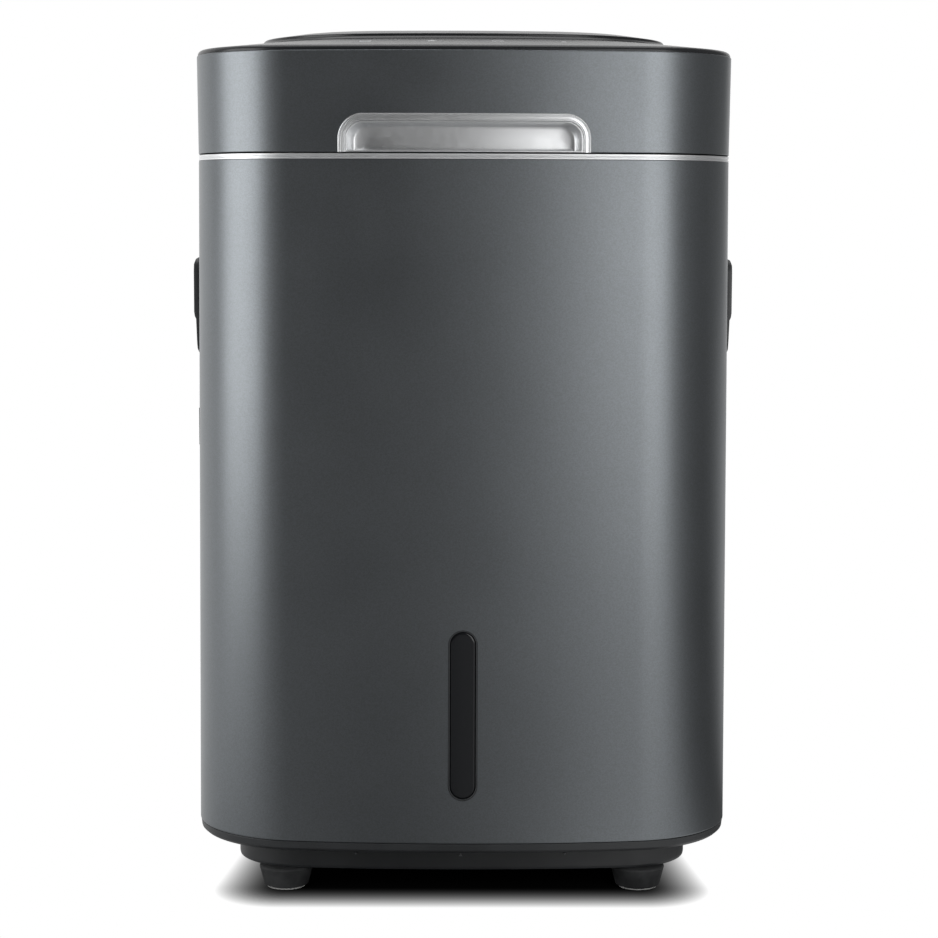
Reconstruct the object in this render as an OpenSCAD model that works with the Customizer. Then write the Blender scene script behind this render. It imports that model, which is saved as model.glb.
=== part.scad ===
// Electric food waste composter. A bow-fronted cabinet stands on four plug feet under a hinged lid.
// Inside are a fixed tub with a geared agitator, a blower and a pull-out carbon cassette.
// The front is -Y, the right side is +X and the floor is z = 0. The origin is under the centre.

/* [Cabinet] */
// Width across the lid's top edge
cabinet_w = 300; // [296:1:304]
// Depth from front to back at the same height
cabinet_d = 330; // [326:1:334]
// Radius of the four upright corners
corner_r = 60; // [56:1:62]
// How far the front and the back bow outwards
front_bow = 5.6; // [4:0.2:7]
// How far the sides bow outwards
side_bow = 5; // [4:0.2:6]
// Thickness of the moulded walls
wall = 2.8; // [2.4:0.1:3.2]
// Height of the painted shell's lower edge
shell_bottom = 34; // [33:0.5:35]
// Height of the painted shell's upper edge
shell_top = 397.5; // [396:0.5:399]

/* [Lid] */
// Height of the painted lid wall
lid_h = 52.5; // [50:0.5:55]
// Rise of the black top panel above the lid wall
top_rise = 9.3; // [9:0.1:11]
// Width and depth of the raised panel on top
inset_w = 238; // [224:1:240]
// Corner radius of the raised panel
inset_r = 78; // [65:1:80]
// Widest angle that the lid opens to
lid_open = 85; // [60:1:85]

/* [Finger recess] */
// Width of the bezel round the recess
scoop_w = 132; // [126:1:138]
// Height of the bezel above the lid's lower edge
scoop_h = 20; // [18:1:22]
// Depth of the recess
scoop_depth = 14; // [10:1:14]

/* [Window and grips] */
// Width of the slot window
window_w = 13.8; // [12:0.2:16]
// Height of the slot window
window_h = 90.3; // [80:0.1:100]
// Height of the window's centre
window_z = 103.6; // [98:0.2:110]
// Length of a carry grip, front to back
grip_len = 110; // [100:1:120]
// Height of a carry grip
grip_h = 56; // [52:0.2:56]
// Distance from the centre plane to a grip's outer face
grip_reach = 152.9; // [152.5:0.1:153.5]

/* [Tub and agitator] */
// Inner radius of the tub's round floor
tub_r = 94; // [92:1:95]
// Inner width of the tub
tub_w = 208; // [204:1:208]
// Gap between the paddle tips and the tub floor
tip_gap = 4; // [3:0.5:6]
// Radius of the agitator shaft
shaft_r = 8; // [7:0.5:9]

/* [Gear train] */
// Teeth of the drive gear on the agitator shaft
drive_teeth = 60; // [58:1:62]
// Teeth of the idler gear
idler_teeth = 36; // [35:1:38]
// Teeth of the motor pinion
pinion_teeth = 15; // [14:1:16]
// Backlash between the teeth
backlash = 0.2; // [0.15:0.05:0.3]

/* [Filter] */
// Width of the cassette's face
cassette_w = 152; // [148:1:156]
// Height of the cassette's face
cassette_h = 172; // [168:1:176]
// Height of the cassette's centre
cassette_z = 270; // [266:1:272]

/* [Hidden] */

// Fineness of true circles, and segments of the lofted outline
$fn = 64;
CORNER_STEPS = 8;
BOW_STEPS = 12;
SIDE_STEPS = 8;

// Running clearance of a shaft, and the gap between parts that move past each other
run = 0.05;
gap = 0.6;

// Gap between fixed faces that seat on each other
seat = 0.05;

// Levels
trim_h = 3;
trim_top = shell_top + trim_h;
lid_bottom = trim_top + 0.5;
lid_top = lid_bottom + lid_h;
rim_bottom = shell_bottom - 6;
plinth_bottom = 13;
floor_t = 3;
deck_z = trim_top - 0.5;
deck_t = 3;

// Tapers of the moulded walls, sideways per unit of height
lid_taper = 0.0106;
shell_taper = 0.0051;

// Colours
GUNMETAL = "#5b6064";
BLACK = "#26282a";
GLOSS = "#0e0f11";
SILVER = "#c3c6c9";
STEEL = "#9aa0a4";
RUBBER = "#3a3b3c";
PALE = "#a9abab";
BRASS = "#b08d4a";
GREEN = "#2c5a3c";
CHARCOAL = "#1a1a1a";

// Half the cabinet's width at a height
function half_w(z) =
    let (seam = cabinet_w / 2 - lid_taper * (lid_top - shell_top))
    z >= shell_top ? cabinet_w / 2 - lid_taper * (lid_top - z) : seam + shell_taper * (shell_top - z);

// Points of an arc, leaving out its last point
function arc(cx, cy, r, from, to, steps) =
    [for (i = [0:steps - 1]) let (t = from + (to - from) * i / steps) [cx + r * cos(t), cy + r * sin(t)]];

// A rectangle with round corners whose four sides bow outwards, anticlockwise
function bowed(a, b, r, fb, sb) =
    let (cx = a - r - sb, cy = b - r - fb)
    let (rf = (cx * cx + fb * fb) / (2 * fb), rs = (cy * cy + sb * sb) / (2 * sb))
    let (tf = asin(cx / rf), ts = asin(cy / rs))
    concat(
        arc(a - rs - r, 0, rs + r, -ts, ts, SIDE_STEPS),
        arc(cx, cy, r, ts, 90 - tf, CORNER_STEPS),
        arc(0, b - rf - r, rf + r, 90 - tf, 90 + tf, BOW_STEPS),
        arc(-cx, cy, r, 90 + tf, 180 - ts, CORNER_STEPS),
        arc(-a + rs + r, 0, rs + r, 180 - ts, 180 + ts, SIDE_STEPS),
        arc(-cx, -cy, r, 180 + ts, 270 - tf, CORNER_STEPS),
        arc(0, -b + rf + r, rf + r, 270 - tf, 270 + tf, BOW_STEPS),
        arc(cx, -cy, r, 270 + tf, 360 - ts, CORNER_STEPS));

// The cabinet's outline at a height, moved inwards, as one ring of a loft
function ring(z, inset) =
    let (a = half_w(z) - inset)
    [bowed(a, a + (cabinet_d - cabinet_w) / 2, corner_r - inset, front_bow, side_bow), z];

// The plinth's outline, moved inwards
plinth_a = 128.5;
plinth_b = 141;
plinth_r = 37;
function plinth_ring(z, inset) =
    [bowed(plinth_a - inset, plinth_b - inset, plinth_r - inset, 4, 4), z];

// The raised panel's outline, moved inwards
function inset_ring(z, inset) =
    [bowed(inset_w / 2 - inset, inset_w / 2 - 1 - inset, inset_r - inset, 3, 3), z];

// A ring between two rings
function blend_ring(p, q, t) =
    [[for (i = [0:len(p[0]) - 1]) p[0][i] * (1 - t) + q[0][i] * t], p[1] * (1 - t) + q[1] * t];

// Outline of a rectangle with round corners, centred at a point
function round_rect(w, h, r, cx = 0, cy = 0) =
    concat(
        arc(cx + w / 2 - r, cy + h / 2 - r, r, 0, 90, 6),
        [[cx + w / 2 - r, cy + h / 2]],
        arc(cx - w / 2 + r, cy + h / 2 - r, r, 90, 180, 6),
        [[cx - w / 2, cy + h / 2 - r]],
        arc(cx - w / 2 + r, cy - h / 2 + r, r, 180, 270, 6),
        [[cx - w / 2 + r, cy - h / 2]],
        arc(cx + w / 2 - r, cy - h / 2 + r, r, 270, 360, 6),
        [[cx + w / 2, cy - h / 2 + r]]);

// Outline of a slot with round ends, upright
function slot(w, h, cx, cy) =
    concat(
        arc(cx, cy + (h - w) / 2, w / 2, 0, 180, 16),
        [[cx - w / 2, cy + (h - w) / 2]],
        arc(cx, cy - (h - w) / 2, w / 2, 180, 360, 16),
        [[cx + w / 2, cy - (h - w) / 2]]);

function side_faces(n, j, k) =
    [for (i = [0:n - 1]) let (m = (i + 1) % n)
        each [[j * n + i, k * n + i, k * n + m], [j * n + i, k * n + m, j * n + m]]];

function ring_points(rings) = [for (q = rings) for (p = q[0]) [p[0], p[1], q[1]]];

// A solid skinned over rings from the lowest to the highest
module loft(rings) {
    n = len(rings[0][0]);
    k = len(rings);
    sides = [for (j = [0:k - 2]) each side_faces(n, j, j + 1)];
    low = [for (i = [0:n - 1]) i];
    high = [for (i = [n - 1:-1:0]) (k - 1) * n + i];
    polyhedron(points = ring_points(rings), faces = concat([low], sides, [high]));
}

// A wall skinned over rings that go up the outside and down the inside
module loft_wall(rings) {
    n = len(rings[0][0]);
    k = len(rings);
    faces = [for (j = [0:k - 1]) each side_faces(n, j, (j + 1) % k)];
    polyhedron(points = ring_points(rings), faces = faces);
}

// The cabinet's wall between two depths below its outer face
module shell_wall(outer, inner) {
    loft_wall([
        ring(shell_bottom, outer), ring(shell_top, outer),
        ring(shell_top, inner), ring(shell_bottom, inner)]);
}

// A block between two corners
module block(low, high) {
    translate(low) cube(high - low);
}

// Round bars along X, Y and Z
module rod_x(x0, x1, y, z, r) {
    translate([x0, y, z]) rotate([0, 90, 0]) cylinder(h = x1 - x0, r = r);
}
module rod_y(y0, y1, x, z, r) {
    translate([x, y1, z]) rotate([90, 0, 0]) cylinder(h = y1 - y0, r = r);
}
module rod_z(z0, z1, x, y, r) {
    translate([x, y, z0]) cylinder(h = z1 - z0, r = r);
}

// Outlines drawn across X, Y or Z and given a thickness
module plate_x(points, x0, x1) {
    translate([x0, 0, 0]) rotate([90, 0, 90]) linear_extrude(x1 - x0) polygon(points);
}
module plate_y(points, y0, y1) {
    translate([0, y1, 0]) rotate([90, 0, 0]) linear_extrude(y1 - y0) polygon(points);
}
module plate_z(points, z0, z1) {
    translate([0, 0, z0]) linear_extrude(z1 - z0) polygon(points);
}

// A pan-head screw along +Z, its head at the bottom
module screw_up(r, length, head_r, head_h) {
    cylinder(h = head_h, r = head_r);
    translate([0, 0, head_h - 0.01]) cylinder(h = length, r = r);
}

/* Base, shell and trim */

// Feet stand in from the plinth's corners
foot_x = 97;
foot_y = 125;
foot_r = 15;
foot_tip_r = 12;
pad_r = 10.8;
pad_t = 3;
pad_show = 1.2;
FEET = [[-foot_x, -foot_y], [foot_x, -foot_y], [-foot_x, foot_y], [foot_x, foot_y]];

// Screws through the rim into bosses inside the shell
RIM_SCREWS = [[-138, -60], [138, -60], [-138, 60], [138, 60]];
screw_r = 2;
lip_h = 6;
head_r = 3.6;
head_h = 2;

vent_slots = 9;
vent_pitch = 9;

module base_pan() {
    lip = wall + 0.3;
    color(BLACK) difference() {
        union() {
            loft([
                plinth_ring(plinth_bottom, 1.8), plinth_ring(plinth_bottom + 0.5, 0.6),
                plinth_ring(plinth_bottom + 1.6, 0), plinth_ring(rim_bottom - 1, 0),
                ring(rim_bottom, 5), ring(rim_bottom + 0.6, 2.6), ring(rim_bottom + 2.2, 0.8),
                ring(shell_bottom, 0.2)]);
            loft_wall([
                ring(shell_bottom - 1, lip), ring(shell_bottom + lip_h, lip),
                ring(shell_bottom + lip_h, lip + 2), ring(shell_bottom - 1, lip + 2)]);
        }
        difference() {
            union() {
                loft([
                    plinth_ring(plinth_bottom + floor_t, 3), plinth_ring(shell_bottom, 3)]);
                loft([
                    ring(rim_bottom + 4, lip + 2), ring(shell_bottom + 0.1, lip + 2)]);
            }
            for (f = FEET) rod_z(plinth_bottom, 24, f[0], f[1], 8);
        }
        for (f = FEET) rod_z(plinth_bottom - 1, 25, f[0], f[1], screw_r);
        for (s = RIM_SCREWS) {
            rod_z(rim_bottom - 1, shell_bottom + 1, s[0], s[1], screw_r);
            rod_z(rim_bottom - 1, rim_bottom + head_h + 0.2, s[0], s[1], head_r + 0.3);
        }
        for (i = [0:vent_slots - 1])
            block([-55, (i - (vent_slots - 1) / 2) * vent_pitch - 2, plinth_bottom - 1],
                  [55, (i - (vent_slots - 1) / 2) * vent_pitch + 2, plinth_bottom + floor_t + 1]);
    }
}

module foot(x, y) {
    color(BLACK) translate([x, y, 0]) difference() {
        translate([0, 0, pad_show])
            cylinder(h = plinth_bottom - pad_show, r1 = foot_tip_r, r2 = foot_r);
        translate([0, 0, -1]) cylinder(h = pad_t + 1, r = pad_r);
        translate([0, 0, pad_t - 1]) cylinder(h = plinth_bottom, r = screw_r);
    }
}

module foot_pads() {
    color(PALE) for (f = FEET) rod_z(0, pad_t, f[0], f[1], pad_r);
}

module base_screws() {
    color(STEEL) {
        for (f = FEET) translate([f[0], f[1], 26.4]) mirror([0, 0, 1]) screw_up(screw_r, 18, 4, 2.4);
        for (s = RIM_SCREWS)
            translate([s[0], s[1], rim_bottom + 0.2]) screw_up(screw_r, 20, head_r, head_h);
    }
}

// The opening in the back of the shell, which the rear panel fills
rear_w = 184;
rear_low = 46;
rear_high = 376;

module rear_window(grow, y0, y1) {
    plate_y(round_rect(rear_w + 2 * grow, rear_high - rear_low + 2 * grow, 12 + grow, 0,
                       (rear_high + rear_low) / 2), y0, y1);
}

// The holes in both sides of the shell, which the grips fill
module grip_holes() {
    plate_x(round_rect(grip_len - 8, grip_h - 8, 9, 0, grip_top - grip_h / 2), -200, 200);
}

// A screw boss with a rib that joins it to the side wall
module rim_boss(x, y) {
    low = shell_bottom + lip_h + 0.2;
    rod_z(low, 60, x, y, 5);
    translate([x, y, low]) mirror([x > 0 ? 0 : 1, 0, 0]) translate([0, -1.5, 0]) cube([20, 3, 18]);
}

module cabinet_shell() {
    color(GUNMETAL) difference() {
        union() {
            shell_wall(0, wall);
            intersection() {
                for (s = RIM_SCREWS) rim_boss(s[0], s[1]);
                loft([ring(shell_bottom, 1), ring(62, 1)]);
            }
        }
        for (s = RIM_SCREWS) rod_z(shell_bottom, 54, s[0], s[1], screw_r);
        window_slot(1);
        rear_window(0.4, 120, 200);
        grip_holes();
        block([-200, switch_y - 6.6, switch_z - 9.6], [-120, switch_y + 6.6, switch_z + 9.6]);
    }
}

module seam_trim() {
    color(SILVER) loft_wall([
        ring(shell_top, 0.5), ring(shell_top + 0.5, 0), ring(trim_top - 0.5, 0),
        ring(trim_top, 0.5), ring(trim_top, wall + 0.1), ring(shell_top, wall + 0.1)]);
}

/* Tub, deck and supports */

tub_t = 3;
agit_y = -50;
agit_z = 160;
tub_back = agit_y + tub_r;
tub_front = agit_y - tub_r;
tub_rim = deck_z - deck_t;
flange = 8;
duct_x = -60;
duct_w = 62;

// The tub's section across its round floor
function tub_section(grow, top) =
    concat(arc(agit_y, agit_z, tub_r + grow, 180, 360, 36), [
        [agit_y + tub_r + grow, agit_z], [agit_y + tub_r + grow, top], [agit_y - tub_r - grow, top]]);

module tub_form(grow, top) {
    intersection() {
        plate_x(tub_section(grow, top), -tub_w / 2 - grow, tub_w / 2 + grow);
        plate_z(round_rect(tub_w + 2 * grow, 2 * tub_r + 2 * grow, 14 + grow, 0, agit_y), 40, top);
    }
}

module tub_flange(grow, z0, z1) {
    reach = 2 * (tub_t + flange + grow);
    plate_z(round_rect(tub_w + reach, 2 * tub_r + reach, 25, 0, agit_y), z0, z1);
}

module tub() {
    color(STEEL) difference() {
        union() {
            tub_form(tub_t, tub_rim);
            tub_flange(0, tub_rim - 3, tub_rim);
        }
        tub_form(0, tub_rim + 1);
        rod_x(-200, 200, agit_y, agit_z, bush_r);
        for (z = [336:6:366])
            block([duct_x - 24, tub_back - 1, z], [duct_x + 24, tub_back + tub_t + 1, z + 3]);
    }
}

module top_deck() {
    color(BLACK) difference() {
        loft([ring(deck_z - 13, wall + 0.3), ring(deck_z, wall + 0.3)]);
        loft([ring(deck_z - 14, wall + 3), ring(deck_z - deck_t, wall + 3)]);
        tub_flange(0.3, deck_z - 14, tub_rim);
        plate_z(round_rect(tub_w - 3, 2 * tub_r - 3, 13, 0, agit_y), deck_z - 20, deck_z + 1);
        block([-hinge_half, hinge_front, deck_z - 20], [hinge_half, 200, deck_z + 1]);
    }
}

// Two saddles under the tub, joined by two bars that stand on the base pan
saddle_t = 6;
saddle_foot = 72;
saddle_head = 62;
saddle_top = 112;
module saddle(x) {
    low = plinth_bottom + floor_t;
    section = [
        [agit_y - saddle_foot, low], [agit_y + saddle_foot, low],
        [agit_y + saddle_head, saddle_top], [agit_y - saddle_head, saddle_top]];
    difference() {
        plate_x(section, x, x + saddle_t);
        plate_x(tub_section(tub_t, 200), x - 1, x + saddle_t + 1);
        plate_x(round_rect(60, 22, 8, agit_y, 36), x - 1, x + saddle_t + 1);
    }
}

module tub_cradle() {
    low = plinth_bottom + floor_t;
    color(BLACK) {
        saddle(-73);
        saddle(67);
        for (y = [agit_y - 66, agit_y + 58])
            block([-67.5, y, low], [67.5, y + saddle_t, low + 16]);
    }
}

module heater_pad() {
    r0 = tub_r + tub_t + 0.2;
    color(RUBBER) difference() {
        rod_x(-60, 60, agit_y, agit_z, r0 + 2);
        rod_x(-61, 61, agit_y, agit_z, r0);
        block([-62, -200, 82], [62, 200, 400]);
    }
}

/* Hinge */

hinge_y = 155;
hinge_z = lid_bottom + 6;
barrel_r = 8.8;
hinge_front = hinge_y - barrel_r;
hinge_half = 119;
block_top = hinge_z + barrel_r;
pin_r = 3;
knuckle_r = 5.6;
arm_x = 44;
arm_w = 12;

module hinge_pocket(x) {
    w = arm_w / 2 + gap;
    rod_x(x - w, x + w, hinge_y, hinge_z, knuckle_r + gap);
    block([x - w, 130, deck_z + 0.4], [x + w, hinge_y, block_top + 1]);
    block([x - w, hinge_y - 1, hinge_z], [x + w, hinge_y + knuckle_r + gap, block_top + 1]);
}

// The block's top is round about the hinge line, so that the lid's lower edge swings clear of it
module hinge_block() {
    low = shell_top - 9;
    section = concat(
        arc(hinge_y, hinge_z, barrel_r, 0, 180, 24),
        [[hinge_front, hinge_z], [hinge_front, low], [200, low], [200, hinge_z]]);
    color(BLACK) difference() {
        intersection() {
            loft([
                ring(low, wall + 0.3), ring(shell_top, wall + 0.3), ring(trim_top, wall + 0.3),
                ring(trim_top + 0.1, 0.2), ring(block_top, 0.2)]);
            plate_x(section, -hinge_half, hinge_half);
        }
        for (s = [-1, 1]) {
            hinge_pocket(s * arm_x);
            rod_x(s * arm_x - 18, s * arm_x + 18, hinge_y, hinge_z, pin_r);
        }
    }
}

module hinge_pins() {
    color(STEEL) for (s = [-1, 1]) rod_x(s * arm_x - 17, s * arm_x + 17, hinge_y, hinge_z, pin_r);
}

module hinge_arm(x) {
    color(STEEL) difference() {
        union() {
            rod_x(x - arm_w / 2, x + arm_w / 2, hinge_y, hinge_z, knuckle_r);
            block([x - arm_w / 2, 128, lid_bottom + 3.5], [x + arm_w / 2, hinge_y, lid_bottom + 7.5]);
            block([x - 14, 112, lid_bottom + 3.5], [x + 14, 132, lid_bottom + 7.5]);
        }
        rod_x(x - 20, x + 20, hinge_y, hinge_z, pin_r + run);
    }
}

/* Lid */

panel_z = lid_top;
slope_z = lid_top + top_rise;

module scoop_hole(w, h, r, z0, y0, y1) {
    plate_y(round_rect(w, 2 * h, r, 0, z0), y0, y1);
}

module lid_shell() {
    color(GUNMETAL) difference() {
        loft_wall([
            ring(lid_bottom, 0), ring(lid_top - 0.6, 0), ring(lid_top, 0.5),
            ring(lid_top, wall), ring(lid_bottom, wall)]);
        scoop_hole(scoop_w, scoop_h, 13, lid_bottom, -200, -130);
        block([-hinge_half - gap, hinge_front - gap - 1, 300], [hinge_half + gap, 200, block_top + gap]);
    }
}

LID_POSTS = [[-112, -92], [112, -92], [-112, 100], [112, 100]];

module lid_top_panel() {
    outer = ring(panel_z + 2.8, 3);
    inner = inset_ring(slope_z, 0);
    under = ring(panel_z, wall + 3);
    under_top = inset_ring(slope_z - 2.4, 4);
    color(GLOSS) difference() {
        loft([
            ring(panel_z - 4, wall + 0.3), ring(panel_z, wall + 0.3), ring(panel_z + 0.02, 0.5),
            ring(panel_z + 1.2, 0.7), ring(panel_z + 2.2, 1.5), outer,
            blend_ring(outer, inner, 0.5), inner]);
        loft([ring(panel_z - 5, wall + 3), under, blend_ring(under, under_top, 0.5), under_top]);
    }
    color(GLOSS) for (p = LID_POSTS) difference() {
        rod_z(lid_bottom + 3.5, panel_z + 5, p[0], p[1], 5);
        rod_z(lid_bottom + 3, lid_bottom + 20, p[0], p[1], 1.6);
    }
}

module lid_inset() {
    color(GLOSS) loft([
        inset_ring(slope_z, 1), inset_ring(slope_z + 1.5, 5), inset_ring(slope_z + 3.1, 5.3),
        inset_ring(slope_z + 5.4, 19), inset_ring(slope_z + 6.2, 60)]);
}

plug_low = deck_z - 8;
module lid_liner() {
    color(BLACK) difference() {
        union() {
            loft([ring(lid_bottom + 1, wall + 0.3), ring(lid_bottom + 3.5, wall + 0.3)]);
            plate_z(round_rect(tub_w - 9, 2 * tub_r - 9, 12, 0, agit_y), plug_low, lid_bottom + 2);
        }
        plate_z(round_rect(tub_w - 14, 2 * tub_r - 14, 10, 0, agit_y), plug_low + 2.5, lid_bottom + 4);
        block([-scoop_w / 2 - 1, -200, 300], [scoop_w / 2 + 1, -146, 500]);
        block([-hinge_half - gap, hinge_front - gap - 1, 300], [hinge_half + gap, 200, 500]);
        for (p = LID_POSTS) rod_z(300, 500, p[0], p[1], 1.8);
    }
}

module lid_seal() {
    color(RUBBER) difference() {
        plate_z(round_rect(tub_w + 6, 2 * tub_r + 6, 17, 0, agit_y), deck_z + 0.3, lid_bottom + 1);
        plate_z(round_rect(tub_w - 5, 2 * tub_r - 5, 12, 0, agit_y), deck_z, lid_bottom + 2);
        block([-scoop_w / 2 - 1, -200, 300], [scoop_w / 2 + 1, -146.1, 500]);
    }
}

module lid_screws() {
    color(STEEL) for (p = LID_POSTS)
        translate([p[0], p[1], lid_bottom + 0.2]) difference() {
            union() {
                cylinder(h = 0.8, r = 3.4);
                cylinder(h = 14, r = 1.6);
            }
            translate([-0.4, -2, -1]) cube([0.8, 4, 1.5]);
        }
}

module touch_board() {
    board_z = panel_z - 6;
    color(GREEN) block([-66, -138, board_z], [66, -112, board_z + 1.6]);
    color(BLACK) for (x = [-52.5:35:52.5])
        block([x - 4, -128, board_z + 1.5], [x + 4, -120, board_z + 7]);
    color(GREEN) for (x = [-58, 58]) rod_z(lid_bottom + 3.5, board_z + 0.2, x, -125, 3);
}

/* Finger recess */

module scoop() {
    r = 12;
    in_w = scoop_w - 8;
    back = -half_w(lid_bottom) - (cabinet_d - cabinet_w) / 2 + scoop_depth;
    color(SILVER) difference() {
        intersection() {
            scoop_hole(scoop_w - 0.6, scoop_h - 0.3, r, lid_bottom, -170, back + 1.6);
            block([-100, -200, lid_bottom], [100, 0, lid_top]);
            loft([ring(lid_bottom - 1, 1.2), ring(lid_top, 1.2)]);
        }
        hull() {
            scoop_hole(in_w, scoop_h - 4, r - 3, lid_bottom, -180, -179);
            scoop_hole(in_w - 10, scoop_h - 7, r - 4, lid_bottom, back - 1, back);
        }
    }
}

module scoop_bezel() {
    color(SILVER) difference() {
        intersection() {
            scoop_hole(scoop_w, scoop_h, 13, lid_bottom, -180, -140);
            loft([ring(lid_bottom - 1, -0.5), ring(lid_top, -0.5)]);
            block([-100, -200, lid_bottom], [100, 0, lid_top]);
        }
        scoop_hole(scoop_w - 8, scoop_h - 4, 9, lid_bottom, -200, 0);
        loft([ring(lid_bottom - 2, 1.2), ring(lid_top, 1.2)]);
    }
}

/* Window */

// The window's slot through the front wall, made larger by a margin
module window_slot(grow) {
    plate_y(slot(window_w + 2 * grow, window_h + 2 * grow, 0, window_z), -200, -140);
}

module window_lens() {
    lens_back = 5;
    color(GLOSS) union() {
        intersection() {
            window_slot(0);
            shell_wall(0.9, lens_back);
        }
        intersection() {
            window_slot(4);
            shell_wall(wall + 0.1, lens_back);
        }
        for (x = [-5.6, 5.6]) for (z = [-39, 39])
            rod_y(-161, -157.4, x, window_z + z, 1.6);
    }
}

module window_rim() {
    color(BLACK) difference() {
        intersection() {
            window_slot(1);
            shell_wall(0.2, wall);
        }
        window_slot(0);
    }
}

module light_board() {
    color(GREEN) block([-8, -157.4, window_z - 42], [8, -155.8, window_z + 42]);
    color(PALE) for (i = [0:7])
        translate([-2.5, -159.2, window_z - 38.5 + 10 * i]) cube([5, 1.9, 5]);
}

/* Carry grips */

grip_top = 344.5;
grip_cup = 26;

// Section of the proud part: a thick brow above, a thin sill that runs out below
function grip_section() =
    let (low = grip_top - grip_h, back = 144)
    [[back, low + 1], [150, low + 0.2], [151.2, low + 4], [151.8, low + 21],
     [grip_reach - 0.4, low + 22.4], [grip_reach, low + 25], [grip_reach, grip_top - 4],
     [grip_reach - 0.8, grip_top - 1.2], [grip_reach - 2.6, grip_top], [back, grip_top]];

module grip(side) {
    low = grip_top - grip_h;
    mid = grip_top - grip_h / 2;
    color(BLACK) mirror([side > 0 ? 0 : 1, 0, 0]) difference() {
        union() {
            intersection() {
                plate_y(grip_section(), -grip_len / 2, grip_len / 2);
                plate_x(round_rect(grip_len, grip_h, 9, 0, mid), 100, 200);
                union() {
                    difference() {
                        block([100, -100, 200], [200, 100, 400]);
                        loft([ring(200, 0), ring(390, 0)]);
                    }
                    plate_x(round_rect(grip_len - 9, grip_h - 9, 9, 0, mid), 100, 200);
                }
            }
            plate_x(round_rect(grip_len - 9, grip_h - 9, 9, 0, mid), 150 - grip_cup, 148);
        }
        plate_x(round_rect(grip_len - 14, grip_h - 14, 7, 0, mid), 150 - grip_cup + 2.4, grip_reach - 4.4);
        plate_x(round_rect(grip_len - 22, 15, 6, 0, low + 12.5), 140, 200);
    }
}

/* Rocker switch on the left side */

switch_y = -50;
switch_z = 248.4;
rocker_pivot_x = -147.6;
rocker_tilt = 6;

// A block about the switch's centre line, between two depths
module switch_block(x0, x1, half_y, half_z, z = 0) {
    block([x0, switch_y - half_y, switch_z + z - half_z], [x1, switch_y + half_y, switch_z + z + half_z]);
}

module switch_frame() {
    face = -half_w(switch_z) + 1.2;
    color(BLACK) difference() {
        union() {
            difference() {
                switch_block(face - 1.3, face + 2, 7.5, 10.5);
                loft([ring(switch_z - 20, 0), ring(switch_z + 20, 0)]);
            }
            switch_block(face, face + 16, 6.4, 9.4);
        }
        switch_block(face - 3, face + 12, 5.1, 8.1);
    }
    color(BRASS) for (z = [-5, 5])
        switch_block(face + 15.5, face + 23, 2.4, 0.4, z);
}

module rocker() {
    color(BLACK) translate([rocker_pivot_x, switch_y, switch_z]) rotate([0, rocker_tilt, 0]) difference() {
        union() {
            translate([-2.2, -4.6, -7.2]) cube([5, 9.2, 14.4]);
            translate([0, 4.6, 0]) rotate([90, 0, 0]) cylinder(h = 9.2, r = 3.6);
        }
        translate([-23.5, -6, 0]) rotate([-90, 0, 0]) cylinder(h = 12, r = 22);
    }
}

/* Rear panel, inlet and screws */

inlet_x = 52;
inlet_z = 72;
REAR_SCREWS = [[-84, 52], [84, 52], [-84, 370], [84, 370]];

// Depth of the bowed back wall's outer face
function back_y(x, z) =
    let (cx = cabinet_w / 2 - corner_r - side_bow)
    let (r = (cx * cx + front_bow * front_bow) / (2 * front_bow) + corner_r)
    half_w(z) + (cabinet_d - cabinet_w) / 2 - r + sqrt(r * r - x * x);

// Part of the curved back wall that lies inside an outline
module back_skin(outer, inner) {
    intersection() {
        children();
        shell_wall(outer, inner);
    }
}

module rear_panel() {
    color(BLACK) difference() {
        union() {
            back_skin(0.5, wall + 1) rear_window(0, 120, 200);
            difference() {
                back_skin(wall + seat, wall + 2) rear_window(4, 120, 200);
                rear_window(-5, 100, 200);
            }
        }
        plate_y(round_rect(cassette_w + 2 * gap, cassette_h + 2 * gap, 8.6, 0, cassette_z), 120, 200);
        plate_y(round_rect(28, 20.4, 2, inlet_x, inlet_z), 100, 200);
        for (s = REAR_SCREWS) {
            rod_y(100, 200, s[0], s[1], 1.6);
            rod_y(back_y(s[0], s[1]) - 1.4, 172, s[0], s[1], 3.6);
        }
        for (i = [0:6])
            plate_y(round_rect(86, 3.6, 1.5, -30, 64 + 8 * i), 120, 200);
    }
}

module rear_screws() {
    color(STEEL) for (s = REAR_SCREWS) {
        back = back_y(s[0], s[1]) - 1.4;
        rod_y(back - 14, back, s[0], s[1], 1.6);
        rod_y(back, back + 1.6, s[0], s[1], 3.2);
    }
}

module power_inlet() {
    color(BLACK) difference() {
        union() {
            plate_y(round_rect(27.6, 20, 2, inlet_x, inlet_z), 136, 163.4);
            plate_y(round_rect(34, 26, 3, inlet_x, inlet_z), 156.6, 158.2);
        }
        plate_y(round_rect(24, 16, 2, inlet_x, inlet_z), 144, 170);
    }
    color(STEEL) for (p = [[-7, 0], [0, 4], [7, 0]])
        translate([inlet_x + p[0] - 1, 143, inlet_z + p[1] - 2]) cube([2, 14, 4]);
}

/* Gear train */

gear_m = 2;
gear_x0 = 118;
gear_x1 = 128;
plate_x0 = 110;
plate_t = 3;
motor_y = 70;
motor_z = 95;
bush_r = 12;

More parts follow.
